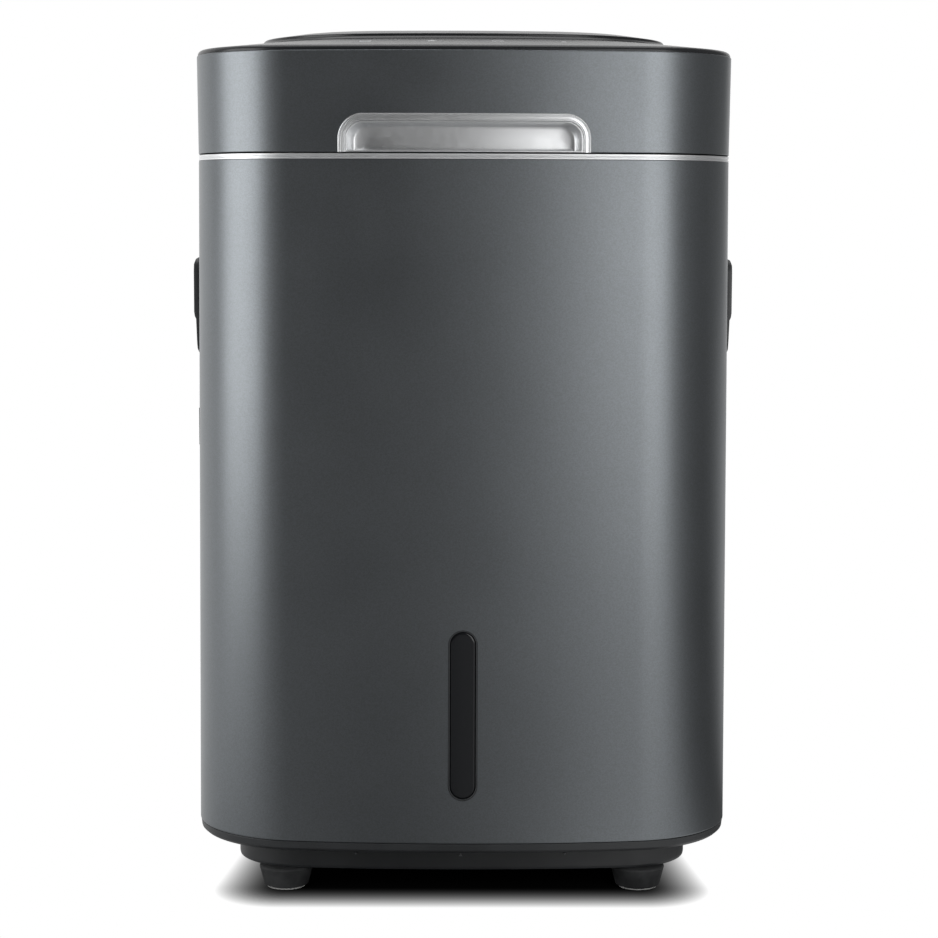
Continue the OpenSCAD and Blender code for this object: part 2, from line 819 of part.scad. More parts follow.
pitch_drive = gear_m * drive_teeth / 2;
pitch_idler = gear_m * idler_teeth / 2;
pitch_pinion = gear_m * pinion_teeth / 2;
reach_motor = norm([motor_y - agit_y, motor_z - agit_z]);
leg_a = pitch_drive + pitch_idler;
leg_b = pitch_idler + pitch_pinion;
angle_motor = atan2(motor_z - agit_z, motor_y - agit_y);
angle_idler = angle_motor
    + acos((leg_a * leg_a + reach_motor * reach_motor - leg_b * leg_b) / (2 * leg_a * reach_motor));
idler_y = agit_y + leg_a * cos(angle_idler);
idler_z = agit_z + leg_a * sin(angle_idler);
angle_pinion = atan2(motor_z - idler_z, motor_y - idler_y);

// Turn of a gear whose teeth fall into the gaps of the gear before it
function mesh_turn(line, turn, teeth_a, teeth_b) = line + 180 - (180 - (line - turn) * teeth_a) / teeth_b;
turn_idler = mesh_turn(angle_idler, 0, drive_teeth, idler_teeth);
turn_pinion = mesh_turn(angle_pinion, turn_idler, idler_teeth, pinion_teeth);

pressure = 20;
function involute(a) = tan(a) * 180 / PI - a;

// Outline of an involute spur gear about the origin, a tooth centred on the first axis
function gear_points(teeth, turn) =
    let (rp = gear_m * teeth / 2, rb = rp * cos(pressure), ra = rp + 0.95 * gear_m, rr = rp - 1.25 * gear_m)
    let (half = 90 / teeth - backlash / (4 * rp) * 180 / PI + involute(pressure), r0 = max(rb, rr))
    let (radii = [for (i = [0:4]) r0 + (ra - r0) * i / 4])
    let (flank = [for (r = radii) [r, half - involute(acos(min(1, rb / r)))]])
    let (root = [[rr, flank[0][1] + 7 / teeth]])
    let (side = concat(root, flank))
    [for (k = [0:teeth - 1]) let (c = turn + 360 * k / teeth)
        each concat(
            [for (q = side) q[0] * [cos(c - q[1]), sin(c - q[1])]],
            [for (i = [len(side) - 1:-1:0]) let (q = side[i]) q[0] * [cos(c + q[1]), sin(c + q[1])]])];

function moved(points, y, z) = [for (p = points) [p[0] + y, p[1] + z]];

module drive_gear() {
    color(PALE) difference() {
        union() {
            plate_x(moved(gear_points(drive_teeth, 0), agit_y, agit_z), gear_x0, gear_x1);
            rod_x(gear_x0 - 2, gear_x1 + 2, agit_y, agit_z, 16);
        }
        difference() {
            union() {
                rod_x(gear_x0 - 1, gear_x0 + 3, agit_y, agit_z, pitch_drive - 6);
                rod_x(gear_x1 - 3, gear_x1 + 1, agit_y, agit_z, pitch_drive - 6);
            }
            rod_x(gear_x0 - 2, gear_x1 + 2, agit_y, agit_z, 16);
        }
        for (a = [15:60:315])
            rod_x(gear_x0 - 1, gear_x1 + 1, agit_y + 35 * cos(a), agit_z + 35 * sin(a), 9);
        rod_x(gear_x0 - 3, gear_x1 + 3, agit_y, agit_z, shaft_r - 1);
    }
}

module idler_gear() {
    color(PALE) difference() {
        union() {
            plate_x(moved(gear_points(idler_teeth, turn_idler), idler_y, idler_z), gear_x0, gear_x1);
            rod_x(gear_x0 - 2, gear_x1 + 1, idler_y, idler_z, 9);
        }
        rod_x(gear_x0 - 3, gear_x1 + 3, idler_y, idler_z, 5 + run);
    }
}

module motor_pinion() {
    color(STEEL) union() {
        plate_x(moved(gear_points(pinion_teeth, turn_pinion), motor_y, motor_z), gear_x0 - 1, gear_x1 + 1);
        rod_x(92, gear_x1 + 3, motor_y, motor_z, 5);
    }
}

module gearmotor() {
    color(STEEL) difference() {
        union() {
            rod_x(68, plate_x0, motor_y, motor_z, 32);
            rod_x(plate_x0 - 1, plate_x0 + plate_t + 1, motor_y, motor_z, 9);
            rod_x(16, 69, motor_y, motor_z, 27);
            rod_x(11, 17, motor_y, motor_z, 8);
        }
        rod_x(91.5, 130, motor_y, motor_z, 5 + run);
        for (a = [45:90:315])
            rod_x(plate_x0 - 12, plate_x0 + 1, motor_y + 25 * cos(a), motor_z + 25 * sin(a), screw_r);
    }
}

module gear_plate() {
    color(STEEL) {
        difference() {
            hull() {
                rod_x(plate_x0, plate_x0 + plate_t, agit_y, agit_z, 40, $fn = 32);
                rod_x(plate_x0, plate_x0 + plate_t, idler_y, idler_z, 24, $fn = 32);
                rod_x(plate_x0, plate_x0 + plate_t, motor_y, motor_z, 34, $fn = 32);
                block([plate_x0, motor_y - 30, 16], [plate_x0 + plate_t, motor_y + 30, 18]);
            }
            rod_x(plate_x0 - 1, plate_x0 + 4, agit_y, agit_z, bush_r);
            rod_x(plate_x0 - 1, plate_x0 + 4, motor_y, motor_z, 9);
            rod_x(plate_x0 - 1, plate_x0 + 4, idler_y, idler_z, 5);
            for (a = [45:90:315])
                rod_x(plate_x0 - 1, plate_x0 + 4, motor_y + 25 * cos(a), motor_z + 25 * sin(a), screw_r);
        }
        rod_x(plate_x0, gear_x1 + 4, idler_y, idler_z, 5);
        rod_x(gear_x1 + 1.6, gear_x1 + 4, idler_y, idler_z, 7.5);
        rod_x(plate_x0 + plate_t - 0.5, gear_x0 - 2.3, idler_y, idler_z, 8);
    }
}

/* Agitator */

module shaft_bush(side) {
    wall_x = tub_w / 2 + tub_t;
    end = side > 0 ? plate_x0 + plate_t : wall_x + 1;
    color(BRASS) mirror([side > 0 ? 0 : 1, 0, 0]) difference() {
        union() {
            rod_x(tub_w / 2, end, agit_y, agit_z, bush_r);
            rod_x(tub_w / 2 - 2.5, tub_w / 2, agit_y, agit_z, bush_r + 5);
        }
        rod_x(tub_w / 2 - 4, end + 1, agit_y, agit_z, shaft_r + run);
    }
}

module agitator_shaft() {
    color(STEEL) union() {
        rod_x(-115, gear_x0 - 2, agit_y, agit_z, shaft_r);
        rod_x(gear_x0 - 2, gear_x1 + 2, agit_y, agit_z, shaft_r - 1);
        rod_x(gear_x1 + 2, gear_x1 + 12, agit_y, agit_z, 5);
        rod_x(-117.5, -115, agit_y, agit_z, shaft_r + 3);
    }
}

module gear_nut() {
    color(STEEL) difference() {
        union() {
            rod_x(gear_x1 + 2, gear_x1 + 3.6, agit_y, agit_z, 11);
            translate([gear_x1 + 3.5, agit_y, agit_z]) rotate([0, 90, 0]) cylinder(h = 7, r = 9.6, $fn = 6);
        }
        rod_x(gear_x1, gear_x1 + 14, agit_y, agit_z, 5);
    }
}

paddles = 5;
hub_w = 26;
paddle_pitch = 39;
paddle_twist = 72;

// One mixing arm: a split hub, a tapered arm and a blade set at a skew
module paddle(k) {
    tip_r = tub_r - tip_gap;
    x = (k - (paddles + 1) / 2) * paddle_pitch;
    skew = k % 2 == 0 ? 28 : -28;
    color(STEEL) translate([x, agit_y, agit_z]) rotate([paddle_twist * k, 0, 0]) difference() {
        union() {
            rod_x(-hub_w / 2, hub_w / 2, 0, 0, 15);
            plate_x([[-8, 8], [8, 8], [5, 78], [-5, 78]], -4, 4);
            intersection() {
                rotate([0, 0, skew]) block([-17, -2.5, 58], [17, 2.5, 100]);
                rod_x(-17, 17, 0, 0, tip_r);
            }
        }
        rod_x(-20, 20, 0, 0, shaft_r);
    }
}

/* Air path */

blower_x = duct_x;
blower_z = 104;
blower_y0 = 62;
blower_y1 = 92;
wheel_r = 31;

// The outlet goes up on one side of the scroll
outlet_x0 = blower_x + 17;
outlet_x1 = blower_x + 46;
outlet_z = 166;

// Outline of the blower's scroll: its radius grows from the outlet's tongue round to the outlet
function scroll_points(grow) =
    [for (a = [60:10:360])
        let (r = 35 + grow + 9 * (a - 60) / 300)
        [blower_x + r * cos(a), blower_z + r * sin(a)]];

module outlet(grow, z0, z1) {
    block([outlet_x0 - grow, blower_y0 - grow, z0], [outlet_x1 + grow, blower_y1 + grow, z1]);
}

module scroll(grow, y0, y1) {
    plate_y(scroll_points(grow), y0, y1);
}

module blower_housing() {
    color(BLACK) difference() {
        union() {
            scroll(2, blower_y0, blower_y1);
            outlet(0, blower_z, outlet_z);
        }
        scroll(0, blower_y0 + 2, blower_y1 - 2);
        outlet(-2, blower_z, outlet_z + 1);
        rod_y(blower_y0 - 1, blower_y0 + 3, blower_x, blower_z, 22);
        rod_y(blower_y1 - 3, blower_y1 + 1, blower_x, blower_z, 6);
    }
}

module blower_wheel() {
    color(PALE) {
        rod_y(blower_y1 - 6, blower_y1 - 4, blower_x, blower_z, wheel_r);
        for (a = [0:20:340])
            translate([blower_x, 0, blower_z]) rotate([0, a, 0]) translate([25, 0, 0]) rotate([0, 35, 0])
                block([-5, blower_y0 + 4, -0.6], [5, blower_y1 - 5.9, 0.6]);
        difference() {
            rod_y(blower_y0 + 3.6, blower_y0 + 5, blower_x, blower_z, wheel_r);
            rod_y(blower_y0 + 3, blower_y0 + 6, blower_x, blower_z, 23);
        }
        rod_y(blower_y1 - 14, blower_y1 - 4, blower_x, blower_z, 7);
        rod_y(blower_y1 - 5, blower_y1 + 6, blower_x, blower_z, 3);
    }
}

module blower_motor() {
    color(BLACK) difference() {
        union() {
            rod_y(blower_y1, blower_y1 + 24, blower_x, blower_z, 18);
            for (a = [0, 120, 240])
                rod_y(blower_y1, blower_y1 + 3, blower_x + 20 * cos(a), blower_z + 20 * sin(a), 5);
        }
        rod_y(blower_y1 - 1, blower_y1 + 8, blower_x, blower_z, 3 + run);
    }
}

module intake_duct() {
    y0 = tub_back + tub_t;
    y1 = blower_y0;
    color(BLACK) difference() {
        block([duct_x - duct_w / 2, y0, 76], [duct_x + duct_w / 2, y1, 376]);
        block([duct_x - duct_w / 2 + 2, y0 + 2, 78], [duct_x + duct_w / 2 - 2, y1 - 2, 374]);
        block([duct_x - duct_w / 2 + 5, y0 - 1, 332], [duct_x + duct_w / 2 - 5, y0 + 3, 371]);
        rod_y(y1 - 3, y1 + 1, blower_x, blower_z, 22);
    }
}

// The bay that the cassette slides into, open to the back
bay_y0 = 80;
bay_y1 = 155.8;
tray_w = cassette_w - 16;
tray_h = cassette_h - 16;

module filter_bay() {
    color(BLACK) difference() {
        union() {
            plate_y(round_rect(tray_w + 6, tray_h + 6, 7, 0, cassette_z), bay_y0, bay_y1);
            plate_y(round_rect(tray_w + 26, tray_h + 24, 7, 0, cassette_z), bay_y1 - 2, bay_y1);
            outlet(0, outlet_z, 190);
        }
        plate_y(round_rect(tray_w + 1.6, tray_h + 1.6, 5, 0, cassette_z), bay_y0 + 2, bay_y1 + 1);
        outlet(-2, outlet_z - 1, 188);
        block([outlet_x0 + 2, bay_y0 + 2, 180], [outlet_x1 - 2, blower_y1 - 2, 195]);
    }
}

tray_y0 = bay_y0 + 4;
tray_y1 = 150;
module filter_tray() {
    color(PALE) difference() {
        plate_y(round_rect(tray_w, tray_h, 4, 0, cassette_z), tray_y0, tray_y1);
        plate_y(round_rect(tray_w - 4, tray_h - 4, 3, 0, cassette_z), tray_y0 + 2, tray_y1 - 2);
        for (i = [-4:4])
            for (y = [tray_y0 - 1, tray_y1 - 3])
                block([-56, y, cassette_z + 14 * i - 3], [56, y + 4, cassette_z + 14 * i + 3]);
        block([outlet_x0 + 2, tray_y0 + 3, 150], [outlet_x1 - 2, tray_y0 + 7, 200]);
    }
}

module carbon_bed() {
    bed = round_rect(tray_w - 5, tray_h - 5, 2.6, 0, cassette_z);
    color(CHARCOAL) plate_y(bed, tray_y0 + 2.4, tray_y1 - 2.4);
}

louvres = 11;
module filter_face() {
    pull_z = cassette_z + cassette_h / 2 - 24;
    color(BLACK) difference() {
        union() {
            back_skin(0.5, wall + 0.4)
                plate_y(round_rect(cassette_w, cassette_h, 8, 0, cassette_z), 120, 200);
            intersection() {
                plate_y(round_rect(tray_w, tray_h, 4, 0, cassette_z), tray_y1, 163);
                loft([ring(shell_bottom, 1.5), ring(shell_top, 1.5)]);
            }
        }
        plate_y(round_rect(tray_w - 12, tray_h - 42, 4, 0, cassette_z - 15), tray_y1 - 1, 160.4);
        for (i = [0:louvres - 1])
            plate_y(round_rect(104, 4, 1.9, 0, cassette_z - 64 + 9.6 * i), 150, 200);
        plate_y(round_rect(64, 20, 7, 0, pull_z), tray_y1 + 1.6, 200);
    }
}

/* Electrics */

module board_tray() {
    color(BLACK) {
        block([-128, -96, 90], [-126, 36, 216]);
        for (y = [-84, 24]) for (z = [150, 206]) rod_x(-126.5, -tub_w / 2 - tub_t, y, z, 5);
    }
}

module control_board() {
    color(GREEN) block([-134.6, -92, 94], [-133, 32, 212]);
    color(BLACK) {
        for (y = [-86, 26]) for (z = [100, 206]) rod_x(-133.2, -128, y, z, 3);
        block([-142, -80, 150], [-134.5, -48, 190]);
        for (i = [0:2]) block([-141, -34 + 18 * i, 166], [-134.5, -20 + 18 * i, 190]);
    }
    color(BRASS) for (i = [0:3]) rod_x(-141, -134.5, -70 + 22 * i, 118, 6);
}

base_pan();
cabinet_shell();
seam_trim();
top_deck();
tub();
tub_cradle();
heater_pad();
hinge_block();
hinge_pins();
window_lens();
window_rim();
light_board();
grip(-1);  // grip_left
grip(1);  // grip_right
switch_frame();
rocker();
rear_panel();
rear_screws();
power_inlet();
base_screws();
foot_pads();
foot(-foot_x, -foot_y);  // foot_front_left
foot(foot_x, -foot_y);  // foot_front_right
foot(-foot_x, foot_y);  // foot_rear_left
foot(foot_x, foot_y);  // foot_rear_right
lid_shell();
lid_top_panel();
lid_inset();
lid_liner();
lid_seal();
lid_screws();
touch_board();
scoop();
scoop_bezel();
hinge_arm(-arm_x);  // hinge_arm_left
hinge_arm(arm_x);  // hinge_arm_right
agitator_shaft();
paddle(1);  // paddle_1
paddle(2);  // paddle_2
paddle(3);  // paddle_3
paddle(4);  // paddle_4
paddle(5);  // paddle_5
drive_gear();
gear_nut();
shaft_bush(-1);  // shaft_bush_left
shaft_bush(1);  // shaft_bush_right
gear_plate();
idler_gear();
motor_pinion();
gearmotor();
intake_duct();
blower_housing();
blower_wheel();
blower_motor();
filter_bay();
filter_face();
filter_tray();
carbon_bed();
control_board();
board_tray();
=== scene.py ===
"""Looks of an electric food waste composter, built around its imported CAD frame.

Lengths are in millimetres until a mesh is made. The front is -Y, the right side is +X and the
floor is z = 0, as in the CAD. A depth is measured inwards from the painted wall's outer face.
"""

import logging
from dataclasses import dataclass
from enum import Enum
from typing import Sequence

import bmesh
import bpy
import numpy as np
from mathutils import Matrix, Vector


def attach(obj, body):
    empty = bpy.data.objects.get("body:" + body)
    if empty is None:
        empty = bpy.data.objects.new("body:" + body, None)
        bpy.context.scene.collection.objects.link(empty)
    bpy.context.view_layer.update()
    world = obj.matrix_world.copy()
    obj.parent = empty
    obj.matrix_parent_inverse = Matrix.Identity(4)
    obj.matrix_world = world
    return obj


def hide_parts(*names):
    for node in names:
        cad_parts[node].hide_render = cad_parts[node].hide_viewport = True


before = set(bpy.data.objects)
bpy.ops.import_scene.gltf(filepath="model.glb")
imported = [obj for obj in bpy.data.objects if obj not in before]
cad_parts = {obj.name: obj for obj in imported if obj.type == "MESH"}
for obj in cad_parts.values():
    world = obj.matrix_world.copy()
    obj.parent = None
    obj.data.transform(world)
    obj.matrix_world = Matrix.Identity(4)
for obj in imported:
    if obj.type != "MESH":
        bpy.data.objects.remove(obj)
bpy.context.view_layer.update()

MM = 0.001
CM3 = 1e-6
SHARP = 38.0  # degrees: a steeper edge between faces is shaded sharp
BEYOND = 200.0  # a level outside the object, where a cutter starts
log = logging.getLogger("composter")


class Body(Enum):
    """The CAD bodies that a piece can ride on."""

    CABINET = "cabinet"
    LID = "lid"
    AGITATOR = "agitator"
    IDLER = "idler"
    PINION = "pinion"
    FAN = "fan"
    SWITCH = "switch_rocker"
    CASSETTE = "cassette"


class Slot(Enum):
    """The record's material slots."""

    PAINT = "gunmetal_paint"
    SATIN_BLACK = "satin_black_plastic"
    GLOSS_BLACK = "gloss_black"
    TRIM = "bright_trim"
    STEEL = "stainless_steel"
    RUBBER = "silicone_rubber"
    PAD = "grey_pad"
    ACETAL = "acetal"
    BRONZE = "bronze"
    BOARD = "circuit_board"
    CARBON = "carbon"


class Axis(Enum):
    """The direction that a prism or a lathed shape runs along."""

    X = 0
    Y = 1
    Z = 2


class Texture(Enum):
    """A pattern of a finish, by the texture node that draws it."""

    GRAIN = "TexNoise"
    CELLS = "TexVoronoi"


Points = np.ndarray
Corners = Sequence[tuple[float, float, float]]
Tones = tuple[tuple[float, float], ...]
Piece = bpy.types.Object
Tree = bpy.types.NodeTree
Node = bpy.types.Node
Socket = bpy.types.NodeSocket
Source = Socket | Node  # what feeds an input: a socket, or a node for its first output


# Surfaces


@dataclass
class Skin:
    """Points in millimetres and the faces between them, anticlockwise seen from outside."""

    points: Points
    faces: list[list[int]]

    def __add__(self, other: "Skin") -> "Skin":
        """Both skins as one.

        Args:
            other: the skin whose points and faces follow.
        Returns:
            The joined skin.
        """
        shift = len(self.points)
        faces = self.faces + [[i + shift for i in face] for face in other.faces]
        return Skin(np.concatenate([self.points, other.points]), faces)


def arc(cx: float, cy: float, r: float, start: float, end: float, steps: int) -> Points:
    """Points of an arc without its last one: the centre plus r times (cos t, sin t).

    Args:
        cx, cy: centre. r: radius. start, end: angles in degrees. steps: number of points.
    Returns:
        An array of steps rows.
    """
    t = np.radians(np.linspace(start, end, steps, endpoint=False))
    return np.stack([cx + r * np.cos(t), cy + r * np.sin(t)], axis=1)


def round_rect(w: float, h: float, r: float, cx: float = 0.0, cy: float = 0.0, steps: int = 10) -> Points:
    """Outline of a rectangle with round corners, anticlockwise.

    Args:
        w, h: width and height. r: corner radius. cx, cy: centre. steps: points of a corner.
    Returns:
        Points in two columns.
    """
    x, y = w / 2 - r, h / 2 - r
    corners = [(x, y, 0), (-x, y, 90), (-x, -y, 180), (x, -y, 270)]
    sweep = 90 * steps / (steps - 1)
    return np.concatenate([arc(cx + a, cy + b, r, t, t + sweep, steps) for a, b, t in corners])


def strip(n: int, fold: int, start: int) -> list[list[int]]:
    """Fills a bent ring with quads between its points i and fold - i.

    Args:
        n: points in the ring. fold: sum of the two indices that face each other.
        start: index of the ring's first point.
    Returns:
        The faces, in the ring's own direction.
    """
    i = fold // 2 - n // 2 + np.arange(n // 2)
    quads = np.stack([i, i + 1, fold - i - 1, fold - i], axis=1) % n + start
    return [list(dict.fromkeys(quad)) for quad in quads.tolist()]


def loft(rings: Sequence[Points], closed: bool = False, fold: int | None = None) -> Skin:
    """Skins quads over rings of equal length; ring j, point i is one vertex.

    Args:
        rings: loops in three columns, anticlockwise about the direction they are stacked in.
        closed: joins the last ring to the first, as a tube wall; otherwise both ends get caps.
        fold: fills the ends with quads between points i and fold - i, where they aren't flat.
    Returns:
        The skin, whose faces look away from the stack's middle.
    """
    k, n = len(rings), len(rings[0])
    i = np.arange(n)
    m = (i + 1) % n
    j = np.arange(k if closed else k - 1)[:, None]
    up = (j + 1) % k
    quads = np.stack([j * n + i, j * n + m, up * n + m, up * n + i], axis=-1).reshape(-1, 4)
    caps = [] if closed else [i[::-1].tolist(), ((k - 1) * n + i).tolist()]
    if fold is not None:
        caps = [face[::-1] for face in strip(n, fold, 0)] + strip(n, fold, (k - 1) * n)
    return Skin(np.concatenate(rings), quads.tolist() + caps)


def along(outline: Points, axis: Axis, level: float) -> Points:
    """A flat outline put across an axis at a level.

    Args:
        outline: points as (x, y), (x, z) or (y, z) across Z, Y or X.
        axis: the axis it stands across. level: its place along that axis.
    Returns:
        Points in three columns.
    """
    return np.insert(outline, axis.value, level, axis=1)


def prism(outline: Points, axis: Axis, low: float, high: float) -> Skin:
    """A solid with the same outline from one level to another along an axis."""
    levels = (high, low) if axis is Axis.Y else (low, high)
    return loft([along(outline, axis, level) for level in levels])


def lathe(
    profile: Sequence[tuple[float, float]], axis: Axis, centre: tuple[float, float], steps: int = 48
) -> Skin:
    """A profile turned about an axis: each (r, h) is a circle of radius r at height h.

    Args:
        profile: radii and heights, up the outside. axis: the axis turned about.
        centre: where the axis passes, across it. steps: points of a circle.
    Returns:
        A capped skin.
    """
    rows = profile[::-1] if axis is Axis.Y else profile
    return loft([along(arc(*centre, r, 0, 360, steps), axis, h) for r, h in rows])


def rounded(profile: Corners, closed: bool = True, steps: int = 6) -> Points:
    """Rounds a profile's corners with arcs tangent to both sides.

    An arc point is the centre plus (sin((1-s)a) p + sin(sa) q) / sin a, between the two tangent
    points seen from the centre, where a is the angle between them. One more point on each side
    of an arc keeps its shading off the flat beside it.

    Args:
        profile: corners as (u, v, radius). closed: the last corner joins the first.
        steps: parts of an arc.
    Returns:
        Points in two columns.
    """
    corners = np.array(profile, float)
    rows: list[Points] = []
    for i, (u, v, r) in enumerate(corners):
        p = np.array([u, v])
        if r == 0 or (not closed and i in (0, len(corners) - 1)):
            rows.append(p[None])
            continue
        before = corners[i - 1][:2] - p
        after = corners[(i + 1) % len(corners)][:2] - p
        d0, d1 = before / np.linalg.norm(before), after / np.linalg.norm(after)
        angle = np.arccos(np.clip(d0 @ d1, -1, 1))
        reach = r / np.tan(angle / 2)
        middle = (d0 + d1) / np.linalg.norm(d0 + d1) * r / np.sin(angle / 2)
        s = np.linspace(0, 1, steps + 1)[:, None]
        turn = np.pi - angle
        first, last = d0 * reach - middle, d1 * reach - middle
        curve = middle + (np.sin((1 - s) * turn) * first + np.sin(s * turn) * last) / np.sin(turn)
        guard = 0.25 * r
        rows += [(p + d0 * (reach + guard))[None], p + curve, (p + d1 * (reach + guard))[None]]
    return np.concatenate(rows)


@dataclass(frozen=True)
class Outline:
    """A rectangle with round corners whose four sides bow outwards.

    Each side is an arc of radius (c^2 + s^2) / 2s + r, where c is half the side between its
    corners, s its bow and r the corner radius, so that it runs smoothly into the corners.
    """

    half_x: float
    half_y: float
    corner: float
    front_bow: float
    side_bow: float

    def ring(self, inset: float, z: float) -> Points:
        """The outline, anticlockwise seen from above.

        Args:
            inset: how far it is moved inwards. z: its height.
        Returns:
            Points in three columns.
        """
        a, b, r = self.half_x - inset, self.half_y - inset, self.corner - inset
        cx, cy = a - r - self.side_bow, b - r - self.front_bow
        rf = (cx**2 + self.front_bow**2) / (2 * self.front_bow)
        rs = (cy**2 + self.side_bow**2) / (2 * self.side_bow)
        tf, ts = np.degrees(np.arcsin(cx / rf)), np.degrees(np.arcsin(cy / rs))
        side, corner, front = 32, 40, 48
        flat = np.concatenate([
            arc(a - rs - r, 0, rs + r, -ts, ts, side),
            arc(cx, cy, r, ts, 90 - tf, corner),
            arc(0, b - rf - r, rf + r, 90 - tf, 90 + tf, front),
            arc(-cx, cy, r, 90 + tf, 180 - ts, corner),
            arc(rs + r - a, 0, rs + r, 180 - ts, 180 + ts, side),
            arc(-cx, -cy, r, 180 + ts, 270 - tf, corner),
            arc(0, rf + r - b, rf + r, 270 - tf, 270 + tf, front),
            arc(cx, -cy, r, 270 + tf, 360 - ts, corner),
        ])
        return along(flat, Axis.Z, z)


@dataclass(frozen=True)
class Envelope:
    """The tapered, bow-fronted outline that the cabinet, trim and lid share."""

    half_top: float = 150.0
    deeper: float = 15.0
    corner: float = 60.0
    front_bow: float = 5.6
    side_bow: float = 5.0
    seam_z: float = 397.5
    top_z: float = 453.5
    lid_taper: float = 0.0106
    shell_taper: float = 0.0051

    def half_width(self, z: Points | float) -> Points | float:
        """Half the width: two straight tapers that meet at the seam.

        Args:
            z: one height or more.
        Returns:
            Half the width at each.
        """
        seam = self.half_top - self.lid_taper * (self.top_z - self.seam_z)
        lid = self.half_top - self.lid_taper * (self.top_z - z)
        return np.where(z >= self.seam_z, lid, seam + self.shell_taper * (self.seam_z - z))

    def ring(self, inset: float, z: float) -> Points:
        """The outline at a height, moved inwards."""
        half = float(self.half_width(z))
        return Outline(half, half + self.deeper, self.corner, self.front_bow, self.side_bow).ring(inset, z)

    def face(self, x: Points, z: Points, depth: Points | float) -> Points:
        """Distance of the front or back wall from the middle plane, at a depth below its face.

        The wall is an arc about the Z axis: b - R + sqrt(R^2 - x^2), less the depth.

        Args:
            x, z: places across and up the wall. depth: how far below its face.
        Returns:
            The distances.
        """
        half = self.half_width(z)
        c = half - self.corner - self.side_bow
        big = (c**2 + self.front_bow**2) / (2 * self.front_bow) + self.corner
        return half + self.deeper - big + np.sqrt(big**2 - x**2) - depth

    def on_front(self, outline: Points, depth: Points | float) -> Points:
        """An (x, z) outline laid on the front wall at a depth below its face."""
        x, z = outline[:, 0], outline[:, 1]
        return np.stack([x, -self.face(x, z, depth), z], axis=1)


WALL = Envelope()
SIDE_FOLD = 32  # an outline's points i and 32 - i mirror each other front to back
FEET = (97.0, 125.0)
PLINTH = Outline(128.5, 141.0, 37.0, 4.0, 4.0)
RAISED = Outline(119.0, 118.0, 78.0, 3.0, 3.0)


def wall_loft(profile: Corners) -> Skin:
    """Skins a closed (inset, z, radius) profile round the wall, up the outside, down the inside."""
    return loft([WALL.ring(inset, z) for inset, z in rounded(profile)], closed=True)


def mix(p: Points, q: Points, shares: Sequence[float]) -> list[Points]:
    """Rings between two rings: p (1 - s) + q s for each share s."""
    return [p * (1 - s) + q * s for s in shares]


# Blender objects


def make(name: str, skin: Skin, sharp: float = SHARP) -> Piece:
    """Makes an object of a skin, shaded smooth but for its sharp edges.

    Args:
        name: the piece's name. skin: its surface. sharp: edge angle in degrees kept sharp.
    Returns:
        An object at the origin, in metres.
    """
    mesh = bpy.data.meshes.new(name)
    mesh.from_pydata((skin.points * MM).tolist(), [], skin.faces)
    return dress(bpy.data.objects.new(name, mesh), sharp)


def dress(piece: Piece, sharp: float) -> Piece:
    """Links a piece to the scene and shades it smooth but for its sharp edges.

    Args:
        piece: the object. sharp: edge angle in degrees kept sharp.
    Returns:
        The same object.
    """
    if not piece.users_collection:
        bpy.context.scene.collection.objects.link(piece)
    piece.data.validate()
    piece.data.shade_smooth()
    piece.data.set_sharp_from_angle(angle=np.radians(sharp))
    return piece


def settle(piece: Piece, sharp: float = SHARP) -> Piece:
    """Applies a piece's modifiers to its mesh.

    Args:
        piece: the object. sharp: edge angle in degrees kept sharp.
    Returns:
        The same object with its new mesh.
    """
    evaluated = piece.evaluated_get(bpy.context.evaluated_depsgraph_get())
    piece.data = bpy.data.meshes.new_from_object(evaluated)
    piece.modifiers.clear()
    return dress(piece, sharp)


def carve(piece: Piece, cutters: Sequence[Skin]) -> Piece:
    """Cuts solids out of a piece with exact booleans.

    Args:
        piece: what is cut. cutters: closed skins.
    Returns:
        The same object with its new mesh.
    """
    tools = [make(f"{piece.name}_cutter", cutter) for cutter in cutters]
    for tool in tools:
        cut = piece.modifiers.new("cut", "BOOLEAN")
        cut.object, cut.operation, cut.solver = tool, "DIFFERENCE", "EXACT"
    settle(piece)
    for tool in tools:
        bpy.data.objects.remove(tool)
    return piece


def soften(piece: Piece, width: float) -> Piece:
    """Gives edges of over 30 degrees a small round.

    Args:
        piece: the object. width: of the round, in millimetres.
    Returns:
        The same object with its new mesh.
    """
    edge = piece.modifiers.new("edge", "BEVEL")
    edge.width, edge.segments = width * MM, 2
    edge.limit_method, edge.angle_limit = "ANGLE", np.radians(30)
    edge.harden_normals = False
    return settle(piece, SHARP + 4)


def softened(node: str, name: str, width: float) -> Piece:
    """A copy of a CAD node with its flats merged and its edges rounded.

    Args:
        node: the CAD node. name: the new piece. width: of the round, in millimetres.
    Returns:
        The new piece.
    """
    work = bmesh.new()
    work.from_mesh(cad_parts[node].data)
    merge, flat = 0.002 * MM, np.radians(0.3)
    bmesh.ops.remove_doubles(work, verts=work.verts, dist=merge)
    bmesh.ops.dissolve_limit(work, angle_limit=flat, verts=work.verts, edges=work.edges)
    work.verts.index_update()
    points = [tuple(v.co) for v in work.verts]
    faces = [[v.index for v in f.verts] for f in work.faces]
    work.free()
    mesh = bpy.data.meshes.new(name)
    mesh.from_pydata(points, [], faces)
    return soften(dress(bpy.data.objects.new(name, mesh), SHARP), width)


def dropped(outline: Points, piece: Piece) -> Points:
    """An (x, y) outline dropped from above on a piece, a ray for each of its few points.

    Args:
        outline: points above the piece. piece: what they land on.
    Returns:
        Points in three columns.
    """
    down = Vector((0, 0, -1))
    hits = [piece.ray_cast(Vector((x * MM, y * MM, 1.0)), down)[1] / MM for x, y in outline]
    return np.array([tuple(hit) for hit in hits])


